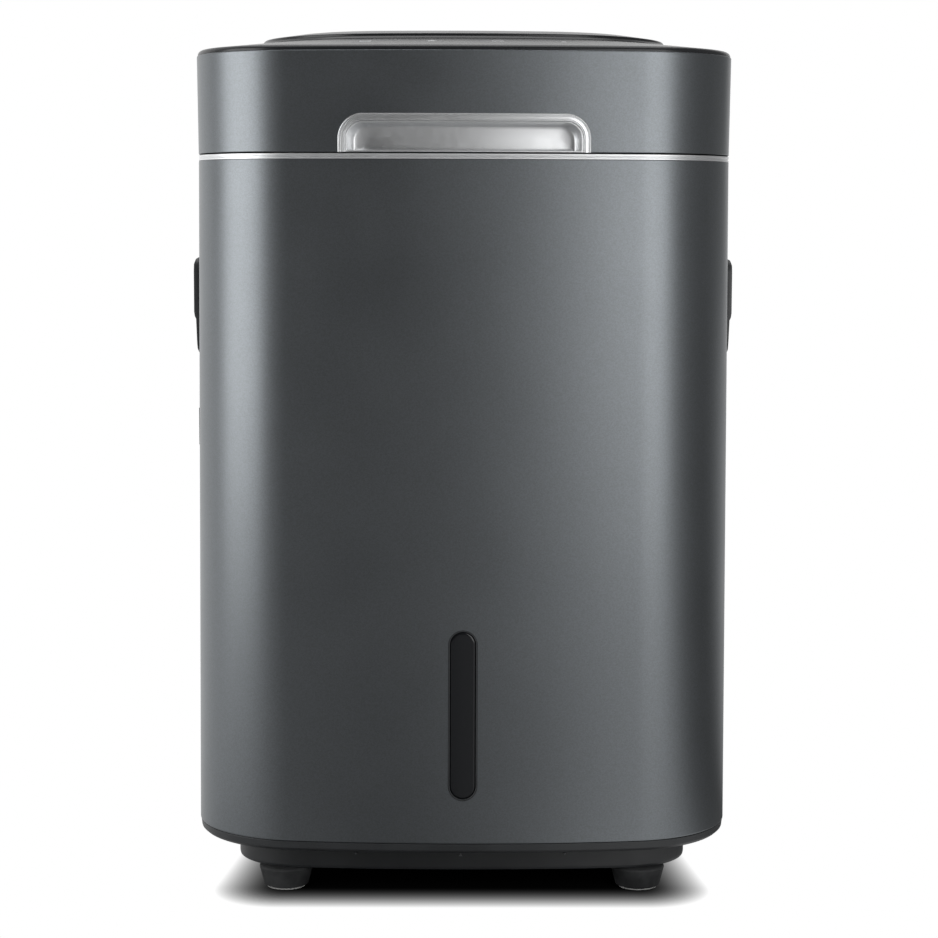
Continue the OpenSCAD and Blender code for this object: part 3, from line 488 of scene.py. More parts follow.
def linear(colour: str) -> tuple[float, float, float, float]:
    """An sRGB colour as linear light: c / 12.92, or ((c + 0.055) / 1.055) ^ 2.4.

    Args:
        colour: its hex value.
    Returns:
        Red, green, blue and alpha.
    """
    c = np.array([int(colour[i:i + 2], 16) for i in (1, 3, 5)]) / 255
    rgb = np.where(c <= 0.04045, c / 12.92, ((c + 0.055) / 1.055) ** 2.4)
    return (*rgb.tolist(), 1.0)


def add_node(
    tree: Tree,
    kind: str,
    links: dict[str | int, Source] | None = None,
    values: dict[str | int, object] | None = None,
    **settings: object,
) -> Node:
    """Adds a node with its settings, values and links.

    Args:
        tree: the node tree. kind: the node's type without its ShaderNode prefix.
        links: the sources that feed the named inputs.
        values: constants of the named inputs.
        settings: the node's own properties.
    Returns:
        The node.
    """
    node = tree.nodes.new(f"ShaderNode{kind}")
    for key, value in settings.items():
        setattr(node, key, value)
    for key, value in (values or {}).items():
        node.inputs[key].default_value = value
    for key, source in (links or {}).items():
        tree.links.new(source.outputs[0] if isinstance(source, Node) else source, node.inputs[key])
    return node


def per_mm(size: float) -> float:
    """A texture's scale for features of a size in millimetres on Object coordinates."""
    return 1 / (size * MM)


# Finishes


@dataclass
class Shading:
    """The nodes of a material in the making: its tree, its shader and its coordinates."""

    tree: Tree
    shader: Node
    coords: Socket

    def pattern(
        self, texture: Texture, size: float, values: dict[str | int, object] | None = None, **settings: object
    ) -> Node:
        """Adds a texture whose features have a size in millimetres.

        Args:
            texture: its kind. size: of its features. values: constants of its other inputs.
            settings: its node's own properties.
        Returns:
            The node, whose first output is the pattern's level.
        """
        inputs = {"Scale": per_mm(size), **(values or {})}
        return add_node(self.tree, texture.value, {"Vector": self.coords}, inputs, **settings)

    def vary_colour(
        self, fac: Source, colour: str, other: str, low: float = 0.35, high: float = 0.65
    ) -> None:
        """Fades the base colour into another as a pattern rises.

        Args:
            fac: the pattern. colour, other: hex values. low, high: values where the fade runs.
        """
        share = add_node(self.tree, "MapRange", {"Value": fac}, {"From Min": low, "From Max": high})
        mixed = add_node(
            self.tree, "Mix", {0: share}, {6: linear(colour), 7: linear(other)}, data_type="RGBA")
        self.tree.links.new(mixed.outputs[2], self.shader.inputs["Base Color"])

    def vary_roughness(self, fac: Source, roughness: float, spread: float) -> None:
        """Spreads the roughness about its value with a pattern."""
        share = add_node(self.tree, "MapRange", {"Value": fac}, {
            "From Min": 0.3, "From Max": 0.7, "To Min": roughness - spread, "To Max": roughness + spread})
        self.tree.links.new(share.outputs[0], self.shader.inputs["Roughness"])

    def emboss(self, height: Source, depth: float, strength: float = 1.0) -> None:
        """Raises the surface by a pattern.

        Args:
            height: the pattern. depth: its height in millimetres. strength: share of it, or
                less than 0 where it sinks.
        """
        values = {"Strength": strength, "Distance": depth * MM}
        raised = add_node(self.tree, "Bump", {"Height": height}, values)
        self.tree.links.new(raised.outputs[0], self.shader.inputs["Normal"])


@dataclass(frozen=True)
class Finish:
    """A material: its common name, the slot it stands for and its shader's plain values.

    The sizes of its patterns are in millimetres.
    """

    name: str
    slot: Slot
    colour: str
    roughness: float
    metallic: float = 0.0
    ior: float = 1.5

    def material(self) -> bpy.types.Material:
        """The material, made the first time it is asked for.

        Returns:
            The Blender material.
        """
        found = bpy.data.materials.get(self.name)
        if found:
            return found
        made = bpy.data.materials.new(self.name)
        made.use_nodes = True
        tree = made.node_tree
        shader = tree.nodes["Principled BSDF"]
        shader.inputs["Base Color"].default_value = linear(self.colour)
        shader.inputs["Roughness"].default_value = self.roughness
        shader.inputs["Metallic"].default_value = self.metallic
        shader.inputs["IOR"].default_value = self.ior
        coords = add_node(tree, "TexCoord").outputs["Object"]
        self.surface(Shading(tree, shader, coords))
        return made

    def surface(self, on: Shading) -> None:
        """Adds what the eye sees of how the surface was made."""
        raise NotImplementedError


@dataclass(frozen=True)
class SprayedMetallic(Finish):
    """Metallic stoving paint, sprayed: aluminium flakes, a faint mottle and orange peel."""

    flake: float = 0.5
    bright: str = "#808488"
    mottle: float = 45.0
    peel: float = 3.0

    def surface(self, on: Shading) -> None:
        """Flakes are 0.03 mm wide in the real paint, and drawn coarser so that they show.

        Args:
            on: the material's nodes.
        """
        flakes = on.pattern(Texture.CELLS, self.flake)
        spark = add_node(on.tree, "SeparateColor", {0: flakes.outputs["Color"]})
        on.vary_colour(spark, self.colour, self.bright, low=0.0, high=1.0)
        on.vary_roughness(on.pattern(Texture.GRAIN, self.mottle), self.roughness, spread=0.015)
        on.emboss(on.pattern(Texture.GRAIN, self.peel, {"Detail": 1.0}), depth=0.006, strength=0.5)


@dataclass(frozen=True)
class MouldedPlastic(Finish):
    """ABS moulded in a spark-eroded tool: an even, fine satin grain."""

    tool_grain: float = 0.7
    cloud: float = 30.0
    patch: float = 12.0
    worn: str = "#292b2d"

    def surface(self, on: Shading) -> None:
        """The tool's grain is 0.1 mm, and drawn coarser so that it shows.

        Args:
            on: the material's nodes.
        """
        on.vary_colour(on.pattern(Texture.GRAIN, self.cloud), self.colour, self.worn)
        on.vary_roughness(on.pattern(Texture.GRAIN, self.patch), self.roughness, spread=0.04)
        on.emboss(on.pattern(Texture.GRAIN, self.tool_grain, {"Detail": 3.0}), depth=0.02, strength=0.5)


@dataclass(frozen=True)
class PolishedPlastic(Finish):
    """Acrylic from a polished or lightly blasted tool: even, with a long, weak ripple."""

    ripple: float = 22.0
    wiping: float = 14.0

    def surface(self, on: Shading) -> None:
        """The ripple bends reflections a little, and fine wiping marks vary the gloss.

        Args:
            on: the material's nodes.
        """
        marks = on.pattern(Texture.GRAIN, self.wiping, {"Detail": 1.0})
        on.vary_roughness(marks, self.roughness, spread=0.01)
        on.emboss(on.pattern(Texture.GRAIN, self.ripple, {"Detail": 0.0}), depth=0.01, strength=0.1)


@dataclass(frozen=True)
class PlatedPlastic(Finish):
    """Satin chrome plating over moulded plastic: a pearly, even sheen."""

    cloud: float = 4.0
    pearl: float = 0.6

    def surface(self, on: Shading) -> None:
        """The pearl structure is microns across, and drawn coarser so that it shows.

        Args:
            on: the material's nodes.
        """
        clouds = on.pattern(Texture.GRAIN, self.cloud, {"Detail": 3.0})
        on.vary_roughness(clouds, self.roughness, spread=0.03)
        on.emboss(on.pattern(Texture.GRAIN, self.pearl), depth=0.003, strength=0.3)


@dataclass(frozen=True)
class BrushedMetal(Finish):
    """Metal brushed or turned: fine lines along one direction."""

    stretch: tuple[float, float, float] = (0.02, 1.0, 1.0)
    line: float = 0.5

    def surface(self, on: Shading) -> None:
        """The lines follow a grit of 0.1 mm, and are drawn coarser so that they show.

        Args:
            on: the material's nodes.
        """
        on.coords = add_node(on.tree, "Mapping", {"Vector": on.coords}, {"Scale": self.stretch}).outputs[0]
        lines = on.pattern(Texture.GRAIN, self.line, {"Detail": 3.0})
        on.vary_roughness(lines, self.roughness, spread=0.08)
        on.emboss(lines, depth=0.01, strength=0.35)


@dataclass(frozen=True)
class Elastomer(Finish):
    """Moulded rubber: matte, with a dusty bloom in soft patches."""

    bloom: str = "#3d3e3f"
    patch: float = 10.0
    cast: float = 0.8

    def surface(self, on: Shading) -> None:
        """The bloom is lighter, and the skin has a fine cast grain."""
        on.vary_colour(on.pattern(Texture.GRAIN, self.patch, {"Detail": 4.0}), self.colour, self.bloom)
        on.emboss(on.pattern(Texture.GRAIN, self.cast), depth=0.02, strength=0.5)


@dataclass(frozen=True)
class EngineeringPlastic(Finish):
    """Acetal, moulded or cut: milky and slightly waxy."""

    shade: str = "#e0dfd8"
    light_reach: float = 1.5
    flow: float = 14.0
    cast: float = 0.7

    def surface(self, on: Shading) -> None:
        """Light goes a little way in, and flow marks cloud the colour.

        Args:
            on: the material's nodes.
        """
        on.shader.inputs["Subsurface Weight"].default_value = 0.1
        on.shader.inputs["Subsurface Scale"].default_value = self.light_reach * MM
        on.vary_colour(on.pattern(Texture.GRAIN, self.flow, {"Detail": 3.0}), self.colour, self.shade)
        on.emboss(on.pattern(Texture.GRAIN, self.cast), depth=0.008, strength=0.4)


@dataclass(frozen=True)
class SinteredMetal(Finish):
    """Pressed and sintered powder that holds oil: dark pores in a dull metal."""

    pore: float = 0.5
    dark: str = "#6b5226"

    def surface(self, on: Shading) -> None:
        """The pores are dark and sunk.

        Args:
            on: the material's nodes.
        """
        pores = on.pattern(Texture.CELLS, self.pore)
        on.vary_colour(pores, self.colour, self.dark, high=0.8)
        on.emboss(pores, depth=0.03, strength=-0.5)


@dataclass(frozen=True)
class SolderMask(Finish):
    """Glass-fibre board under green solder mask, over copper tracks."""

    track: float = 1.6
    cell_tracks: float = 6.0
    copper: str = "#3c7d4f"

    def surface(self, on: Shading) -> None:
        """Tracks run as stepped lighter lines a little proud of the board.

        Args:
            on: the material's nodes.
        """
        steps = on.pattern(Texture.CELLS, self.cell_tracks * self.track, distance="MANHATTAN")
        waves = add_node(on.tree, "Math", {0: steps}, {1: 0.25}, operation="PINGPONG")
        on.vary_colour(waves, self.colour, self.copper, low=0.11, high=0.13)
        on.emboss(waves, depth=0.04, strength=0.4)


@dataclass(frozen=True)
class Pellets(Finish):
    """Loose pellets of activated carbon, packed in a tray."""

    pellet: float = 3.0
    # Colour of the painted shade in the gaps between pellets.
    gap: str = "#050505"

    def surface(self, on: Shading) -> None:
        """Each cell is a pellet, round on top, with painted shade darkening the gaps between pellets.

        Args:
            on: the material's nodes.
        """
        heaps = on.pattern(Texture.CELLS, self.pellet)
        # Painted shade: the gaps between pellets darken towards near black.
        on.vary_colour(heaps, self.colour, self.gap, low=0.3, high=0.7)
        on.emboss(heaps, depth=0.9, strength=-1.0)


PAINT = SprayedMetallic("gunmetal stoving paint", Slot.PAINT, "#777b7d", 0.36, 1.0)
BLACK_ABS = MouldedPlastic("textured black ABS", Slot.SATIN_BLACK, "#222426", 0.42, ior=1.54)
GLOSS = PolishedPlastic("polished black acrylic", Slot.GLOSS_BLACK, "#141517", 0.06, ior=1.49)
SHEEN = PolishedPlastic("satin black acrylic", Slot.GLOSS_BLACK, "#1b1c1e", 0.27, ior=1.49)
CHROME = PlatedPlastic("satin chrome plating", Slot.TRIM, "#eeeff0", 0.38, 1.0)
INK = Elastomer("pale pad-printed ink", Slot.PAD, "#c4c6c8", 0.5, ior=1.5, bloom="#cfd1d3")
PAD_MARK = MouldedPlastic("worn black ABS", Slot.SATIN_BLACK, "#4a4b4d", 0.45, ior=1.54, worn="#55575a")
TRIM = PlatedPlastic("bright chrome plating", Slot.TRIM, "#f0f1f2", 0.42, 1.0)
DISH_CHROME = PlatedPlastic("pearl chrome plating", Slot.TRIM, "#eaebec", 0.42, 1.0)
STEEL = BrushedMetal("brushed stainless steel", Slot.STEEL, "#b4b5b6", 0.3, 1.0)
TURNED = BrushedMetal("turned stainless steel", Slot.STEEL, "#b9babb", 0.24, 1.0, stretch=(1.0, 0.02, 0.02))
RUBBER = Elastomer("black silicone rubber", Slot.RUBBER, "#2b2c2d", 0.75, ior=1.41)
PAD = Elastomer("grey elastomer pad", Slot.PAD, "#cacac8", 0.8, ior=1.41, bloom="#d6d6d4")
ACETAL = EngineeringPlastic("natural acetal", Slot.ACETAL, "#e6e5df", 0.42, ior=1.48)
BRONZE = SinteredMetal("oil-filled sintered bronze", Slot.BRONZE, "#b08a4a", 0.45, 1.0)
BOARD = SolderMask("green solder mask", Slot.BOARD, "#1f5a35", 0.35)
CARBON = Pellets("activated carbon pellets", Slot.CARBON, "#232323", 0.85)


def place(piece: Piece, finish: Finish, body: Body, *stands_for: str) -> Piece:
    """Gives a piece its finish and body, and hides the CAD nodes that it stands for.

    Args:
        piece: the finished object. finish: its material. body: what it moves with.
        stands_for: CAD nodes it replaces.
    Returns:
        The piece.
    """
    piece.data.materials.clear()
    piece.data.materials.append(finish.material())
    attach(piece, body.value)
    if stands_for:
        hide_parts(*stands_for)
    work = bmesh.new()
    work.from_mesh(piece.data)
    volume = work.calc_volume(signed=True) / CM3
    work.free()
    log.info("%s: %d faces, %.2f cm3, on %s", piece.name, len(piece.data.polygons), volume, body.value)
    return piece


# Sub-assemblies


@dataclass(frozen=True)
class Softbox:
    """A rectangular lamp, with its centre and size in metres.

    Its radiance is light per area and solid angle: the power is pi times area times that.
    """

    name: str
    centre: tuple[float, float, float]
    size: tuple[float, float]
    radiance: float

    def build(self, target: tuple[float, float, float]) -> None:
        """Hangs the lamp, level where it stands beside its target.

        Args:
            target: the point that it faces.
        """
        data = bpy.data.lights.new(self.name, "AREA")
        data.shape = "RECTANGLE"
        data.size, data.size_y = self.size
        data.energy = np.pi * np.prod(self.size) * self.radiance
        lamp = bpy.data.objects.new(self.name, data)
        aim = Vector(target) - Vector(self.centre)
        if aim.xy.length > abs(aim.z):
            aim.z = 0.0
        turn = aim.to_track_quat("-Z", "Y").to_matrix().to_4x4()
        lamp.matrix_world = Matrix.Translation(self.centre) @ turn
        lamp.visible_camera = False
        bpy.context.scene.collection.objects.link(lamp)


@dataclass
class Studio:
    """Floor, lamps, background and camera, which aren't part of the object.

    Its places and lengths are in metres. Each row of tones is (degrees, level), where 0 is
    towards the camera and 90 is the right side.
    """

    lens: float = 90.61
    sensor: float = 36.0
    eye: tuple[float, float, float] = (-0.006, -1.400, 0.367)
    pitch: float = 6.07
    yaw: float = 0.412
    roll: float = 0.19
    middle: tuple[float, float, float] = (0.0, 0.0, 0.25)
    lamps: tuple[Softbox, ...] = (
        Softbox("softbox_left", (-1.19, -0.50, 0.74), (1.0, 1.3), 2.5),
        Softbox("softbox_right", (0.78, -1.28, 0.74), (0.9, 1.3), 2.1),
        Softbox("softbox_top", (0.0, 0.1, 1.9), (1.6, 1.2), 1.5))
    room_tones: Tones = (
        (-180, 1.0), (180, 1.0), (-122, 0.95), (-108, 0.3), (-60, 0.1), (-45, 0.02), (0, 0.02),
        (30, 0.1), (66, 0.2), (95, 0.2), (138, 0.2), (158, 0.9))
    # Painted light and shade that reflections see on the floor, dim in front of the object and white behind
    # it.
    floor_painted_tones: Tones = (
        (-180, 1.0), (180, 1.0), (-125, 0.9), (-90, 0.72), (-45, 0.36), (-10, 0.14), (5, 0.22),
        (30, 0.7), (44, 0.7), (70, 0.15), (95, 0.1), (140, 0.6))
    floor_r: float = 12.0
    shade_core: tuple[float, float, float] = (0.099, 0.128, 0.0)
    shade_taper: float = 1.3
    shade_reach: float = 0.041
    shade_power: float = 3.2
    # Reach of the ambient occlusion that paints shade into the floor's colour near the object, in metres.
    contact: float = 0.12

    def build(self) -> None:
        """Builds the whole studio."""
        self.camera()
        for lamp in self.lamps:
            lamp.build(self.middle)
        self.world()
        self.floor()
        bpy.context.scene.view_settings.view_transform = "Standard"

    def camera(self) -> None:
        """The camera looks along +Y, turned right by yaw, down by pitch and rolled."""
        data = bpy.data.cameras.new("camera")
        data.lens, data.sensor_width = self.lens, self.sensor
        data.clip_start, data.clip_end = 0.01, 50.0
        camera = bpy.data.objects.new("camera", data)
        turn = (
            Matrix.Rotation(np.radians(-self.yaw), 4, "Z")
            @ Matrix.Rotation(np.radians(90 - self.pitch), 4, "X")
            @ Matrix.Rotation(np.radians(self.roll), 4, "Z"))
        camera.matrix_world = Matrix.Translation(self.eye) @ turn
        bpy.context.scene.collection.objects.link(camera)
        bpy.context.scene.camera = camera

    def tone(self, tree: Tree, vector: Socket, stops: Tones) -> Socket:
        """Brightness by compass direction, eased from stop to stop.

        Args:
            tree: the node tree. vector: a direction or a place. stops: a row of tones.
        Returns:
            The level's socket.
        """
        split = add_node(tree, "SeparateXYZ", {0: vector})
        back = add_node(tree, "Math", {0: split.outputs[1]}, {1: -1.0}, operation="MULTIPLY")
        angle = add_node(tree, "Math", {0: split, 1: back}, operation="ARCTAN2")
        share = add_node(
            tree, "MapRange", {"Value": angle}, {"From Min": -np.pi, "From Max": np.pi})
        ramp = add_node(tree, "ValToRGB", {0: share})
        ramp.color_ramp.interpolation = "EASE"
        for i, (degrees, level) in enumerate(stops):
            spot = (degrees + 180) / 360
            if i < 2:
                stop = ramp.color_ramp.elements[i]
                stop.position = spot
            else:
                stop = ramp.color_ramp.elements.new(spot)
            stop.color = (level, level, level, 1.0)
        return ramp.outputs[0]

    def world(self) -> None:
        """White to the camera and through glass; a plain room seen in reflections.

        Behind the object the room is the same white, and on the camera's side it is dim. Its
        level drops with height above the backdrop. Matte surfaces get a grey that brightens
        upwards.
        """
        world = bpy.data.worlds.new("studio")
        bpy.context.scene.world = world
        world.use_nodes = True
        tree = world.node_tree
        tree.nodes.clear()
        path = add_node(tree, "LightPath")
        ray = add_node(tree, "TexCoord").outputs["Generated"]
        room = self.tone(tree, ray, self.room_tones)
        height = add_node(tree, "SeparateXYZ", {0: ray}).outputs[2]
        drop = add_node(tree, "MapRange", {"Value": height}, {
            "From Min": 0.05, "From Max": 0.5, "To Min": 1.0, "To Max": 0.8})
        shown = add_node(tree, "Math", {0: room, 1: drop}, operation="MULTIPLY")
        sky = add_node(tree, "MapRange", {"Value": height}, {"To Min": 0.15, "To Max": 0.9})
        plain = add_node(tree, "Mix", {
            0: path.outputs["Is Glossy Ray"], 2: sky, 3: shown})
        seen = add_node(tree, "Math", {
            0: path.outputs["Is Camera Ray"], 1: path.outputs["Is Transmission Ray"]}, operation="MAXIMUM")
        level = add_node(tree, "Mix", {0: seen, 2: plain}, {3: 1.0})
        light = add_node(tree, "Background", {"Strength": level}, {"Color": linear("#ffffff")})
        add_node(tree, "OutputWorld", {0: light})

    def floor(self) -> None:
        """A pale, matte floor with painted shade near the object, turning white further out.

        Its real shading shows within a distance of a rectangle under the object, which is narrower
        at the back; beyond that the camera sees it fade to plain white, so the rectangle sets the
        shadow's outline. Near the object, ambient occlusion darkens the floor's own colour towards
        near black: painted shade on top of the real shadow. Reflections see painted light and shade
        on the floor by compass direction, dim in front of the object and white behind it.
        """
        rim = along(arc(0, 0, self.floor_r / MM, 0, 360, 64), Axis.Z, 0.0)
        floor = make("floor", Skin(rim, [list(range(len(rim)))]))
        made = bpy.data.materials.new("pale matte floor with painted contact shade")
        made.use_nodes = True
        tree = made.node_tree
        tree.nodes.clear()
        place_at = add_node(tree, "TexCoord").outputs["Object"]
        side = add_node(tree, "VectorMath", {0: place_at}, operation="ABSOLUTE").outputs[0]
        back = add_node(tree, "SeparateXYZ", {0: place_at}).outputs[1]
        depth = (WALL.half_top + WALL.deeper) * MM
        taper = add_node(tree, "MapRange", {"Value": back}, {
            "From Min": -depth, "From Max": depth, "To Min": 1.0, "To Max": self.shade_taper})
        wide = add_node(tree, "CombineXYZ", {0: taper}, {1: 1.0, 2: 0.0})
        drawn = add_node(tree, "VectorMath", {0: side, 1: wide}, operation="MULTIPLY")
        past = add_node(
            tree, "VectorMath", {0: drawn}, {1: self.shade_core}, operation="SUBTRACT")
        outside = add_node(
            tree, "VectorMath", {0: past}, {1: (0.0, 0.0, 0.0)}, operation="MAXIMUM")
        reach = add_node(tree, "VectorMath", {0: outside}, operation="LENGTH")
        near = add_node(
            tree, "MapRange", {"Value": reach.outputs["Value"]}, {"From Max": self.shade_reach})
        far = add_node(tree, "Math", {0: near}, {1: self.shade_power}, operation="POWER")
        path = add_node(tree, "LightPath")
        # Painted contact shade: near the object, ambient occlusion darkens the floor's colour from pale
        # towards near black.
        painted_shade_occlusion = add_node(tree, "AmbientOcclusion", values={"Distance": self.contact}, samples=8)
        unshaded_share = add_node(tree, "MapRange", {"Value": painted_shade_occlusion.outputs["AO"]}, {"From Min": 0.6})
        pale = add_node(
            tree, "Mix", {0: unshaded_share}, {6: linear("#101010"), 7: linear("#eeeeee")},
            data_type="RGBA")
        matte = add_node(tree, "BsdfDiffuse", {"Color": pale.outputs[2]})
        # Reflections see the floor's painted light and shade by direction; the camera sees it white.
        room = self.tone(tree, place_at, self.floor_painted_tones)
        level = add_node(tree, "Mix", {0: path.outputs["Is Glossy Ray"], 3: room}, {2: 1.0})
        white = add_node(tree, "Emission", {"Strength": level})
        lit = add_node(tree, "MixShader", {0: far, 1: matte, 2: white})
        out = add_node(tree, "MixShader", {
            0: path.outputs["Is Diffuse Ray"], 1: lit, 2: matte})
        add_node(tree, "OutputMaterial", {0: out})
        floor.data.materials.append(made)


@dataclass
class Cabinet:
    """Painted shell, bright seam trim, slot window, base pan and feet.

    The window is (width, height, level of its middle). Another hole and a drain slot are
    (width, height, corner radius), and their places are levels or (y, level).
    """

    bottom: float = 34.0
    wall: float = 2.8
    trim_h: float = 3.0
    window: tuple[float, float, float] = (13.8, 90.3, 103.6)
    window_gap: float = 1.0
    end_steps: int = 25
    rear: tuple[float, float, float] = (184.8, 330.8, 12.4)
    rear_z: float = 211.0
    grip_hole: tuple[float, float, float] = (102.0, 48.0, 9.0)
    grip_z: float = 316.5
    switch_hole: tuple[float, float, float] = (13.2, 19.2, 0.6)
    switch_at: tuple[float, float] = (-50.0, 248.4)
    drain: tuple[float, float, float] = (110.0, 4.0, 1.9)
    drain_pitch: float = 9.0

    def build(self) -> None:
        """Builds every piece."""
        self.shell()
        self.trim()
        self.window_pieces()
        self.base()
        self.stand()

    def slot(self, grow: float) -> Points:
        """The window's outline with half-round ends.

        Args:
            grow: the margin that is added all round.
        Returns:
            (x, z) points.
        """
        w, h, z = self.window
        r = w / 2 + grow
        straight, n = (h - w) / 2, self.end_steps
        sweep = 180 * n / (n - 1)
        ends = [(z + straight, 0), (z - straight, 180)]
        return np.concatenate([arc(0, level, r, start, start + sweep, n) for level, start in ends])

    def shell(self) -> None:
        """The painted wall with its openings; its rims are rounded over.

        Each cutter runs between a level inside the wall and one beyond it.
        """
        top, bottom, wall = WALL.seam_z, self.bottom, self.wall
        skin = wall_loft([(0, bottom, 1.0), (0, top, 0.5), (wall, top, 0.4), (wall, bottom, 0.6)])
        grip = round_rect(*self.grip_hole, 0, self.grip_z)
        cutters = [
            prism(self.slot(self.window_gap), Axis.Y, -BEYOND, -140),
            prism(round_rect(*self.rear, 0, self.rear_z), Axis.Y, 120, BEYOND),
            prism(grip, Axis.X, -BEYOND, -100),
            prism(grip, Axis.X, 100, BEYOND),
            prism(round_rect(*self.switch_hole, *self.switch_at), Axis.X, -BEYOND, -120)]
        place(carve(make("shell_wrap", skin), cutters), PAINT, Body.CABINET, "cabinet_shell")

    def trim(self) -> None:
        """The seam's plated ring: two beads along its edges and a shallow groove between."""
        low, high = WALL.seam_z, WALL.seam_z + self.trim_h
        skin = wall_loft([
            (0.1, low - 0.05, 0.04), (-0.05, low + 0.1, 0.08), (-0.05, low + 0.6, 0.12),
            (0.6, low + 1.3, 0.3), (-0.05, high - 1.1, 0.12), (-0.05, high - 0.35, 0.1),
            (0.15, high - 0.2, 0.04), (self.wall, high - 0.05, 0.1), (self.wall, low, 0.1)])
        place(make("trim_ring", skin), TRIM, Body.CABINET, "seam_trim")

    def window_pieces(self) -> None:
        """The slot's thin surround, and a polished lens with a rounded edge and a slight crown.

        The edge is a quarter of an ellipse, 1.5 (1 - cos t) inwards from the slot and sin t
        outwards from a depth of 1.75.
        """
        gap, wall = self.window_gap, self.wall
        surround = rounded([(gap, wall, 0.1), (gap, 0.12, 0.2), (0.06, 0.12, 0.3), (0.06, wall, 0.1)])
        rim = loft([WALL.on_front(self.slot(g), d) for g, d in surround], closed=True)
        place(make("window_surround", rim), BLACK_ABS, Body.CABINET, "window_rim")
        t = np.radians(np.linspace(0, 90, 7))
        rows = [(0.0, 4.6), (0.0, 2.4)]
        rows += list(zip(-1.5 * (1 - np.cos(t)), 1.75 - np.sin(t)))
        rows += [(-2.6, 0.70), (-4.0, 0.65), (-5.4, 0.62), (-6.5, 0.61)]
        lens = loft([WALL.on_front(self.slot(g), d) for g, d in rows], fold=self.end_steps - 1)
        place(make("window_glass", lens), GLOSS, Body.CABINET, "window_lens")

    def base(self) -> None:
        """The moulded pan: a recessed plinth that flares out to the rim under the shell.

        It has nine drain slots, and its front has three low pips.
        """
        outer = [PLINTH.ring(i, z) for i, z in rounded(
            [(6.0, 13.0, 0), (0.3, 13.0, 0.35), (0.0, 14.5, 0.6), (0.0, 27.0, 0)], closed=False)]
        rim = [WALL.ring(i, z) for i, z in rounded(
            [(6.0, 27.9, 0), (2.7, 28.5, 0.9), (0.8, 30.2, 1.4), (0.35, 33.9, 0.3), (2.2, 34.0, 0.3),
             (3.1, 34.1, 0), (3.1, 40.0, 0.2), (5.1, 40.0, 0.2), (5.1, 32.0, 0)], closed=False)]
        inner = [PLINTH.ring(i, z) for i, z in [(3.0, 30.0), (3.0, 16.5), (3.6, 16.0)]]
        skin = loft(outer + rim + inner)
        front = -PLINTH.half_y
        pips = ((-0.8, 21.2, 1.1, 3), (-58.0, 22.0, 0.5, 12), (56.0, 22.0, 0.5, 12))
        for i, (x, z, r, n) in enumerate(pips):
            pip = prism(arc(x, z, r, 90, 450, n), Axis.Y, front - 0.25, front + 1.5)
            place(make(f"pan_pip_{i + 1}", pip), PAD_MARK, Body.CABINET)
        slots = [prism(round_rect(*self.drain, 0, self.drain_pitch * i, 6), Axis.Z, 10, 20)
                 for i in range(-4, 5)]
        place(carve(make("pan", skin), slots), BLACK_ABS, Body.CABINET, "base_pan")

    def stand(self) -> None:
        """Four plug feet that widen upwards, each round a pale pad that stands 1.2 mm proud.

        Both profiles are (radius, height, round).
        """
        plug = rounded([
            (0.5, 3.0, 0), (10.9, 3.0, 0), (10.9, 1.2, 0.2), (12.1, 1.2, 0.5), (14.9, 12.0, 1.2),
            (12.5, 13.0, 0), (0.5, 13.0, 0)], closed=False)
        pad = rounded([(0.5, 0.0, 0), (10.8, 0.0, 0.5), (10.8, 3.0, 0), (0.5, 3.0, 0)], closed=False)
        x, y = FEET
        pads = None
        for centre, name in (((-x, -y), "front_left"), ((x, -y), "front_right"),
                             ((-x, y), "rear_left"), ((x, y), "rear_right")):
            place(make(f"plug_{name}", lathe(plug, Axis.Z, centre)), RUBBER, Body.CABINET, f"foot_{name}")
            disc = lathe(pad, Axis.Z, centre)
            pads = disc if pads is None else pads + disc
        place(make("pads", pads), PAD, Body.CABINET, "foot_pads")


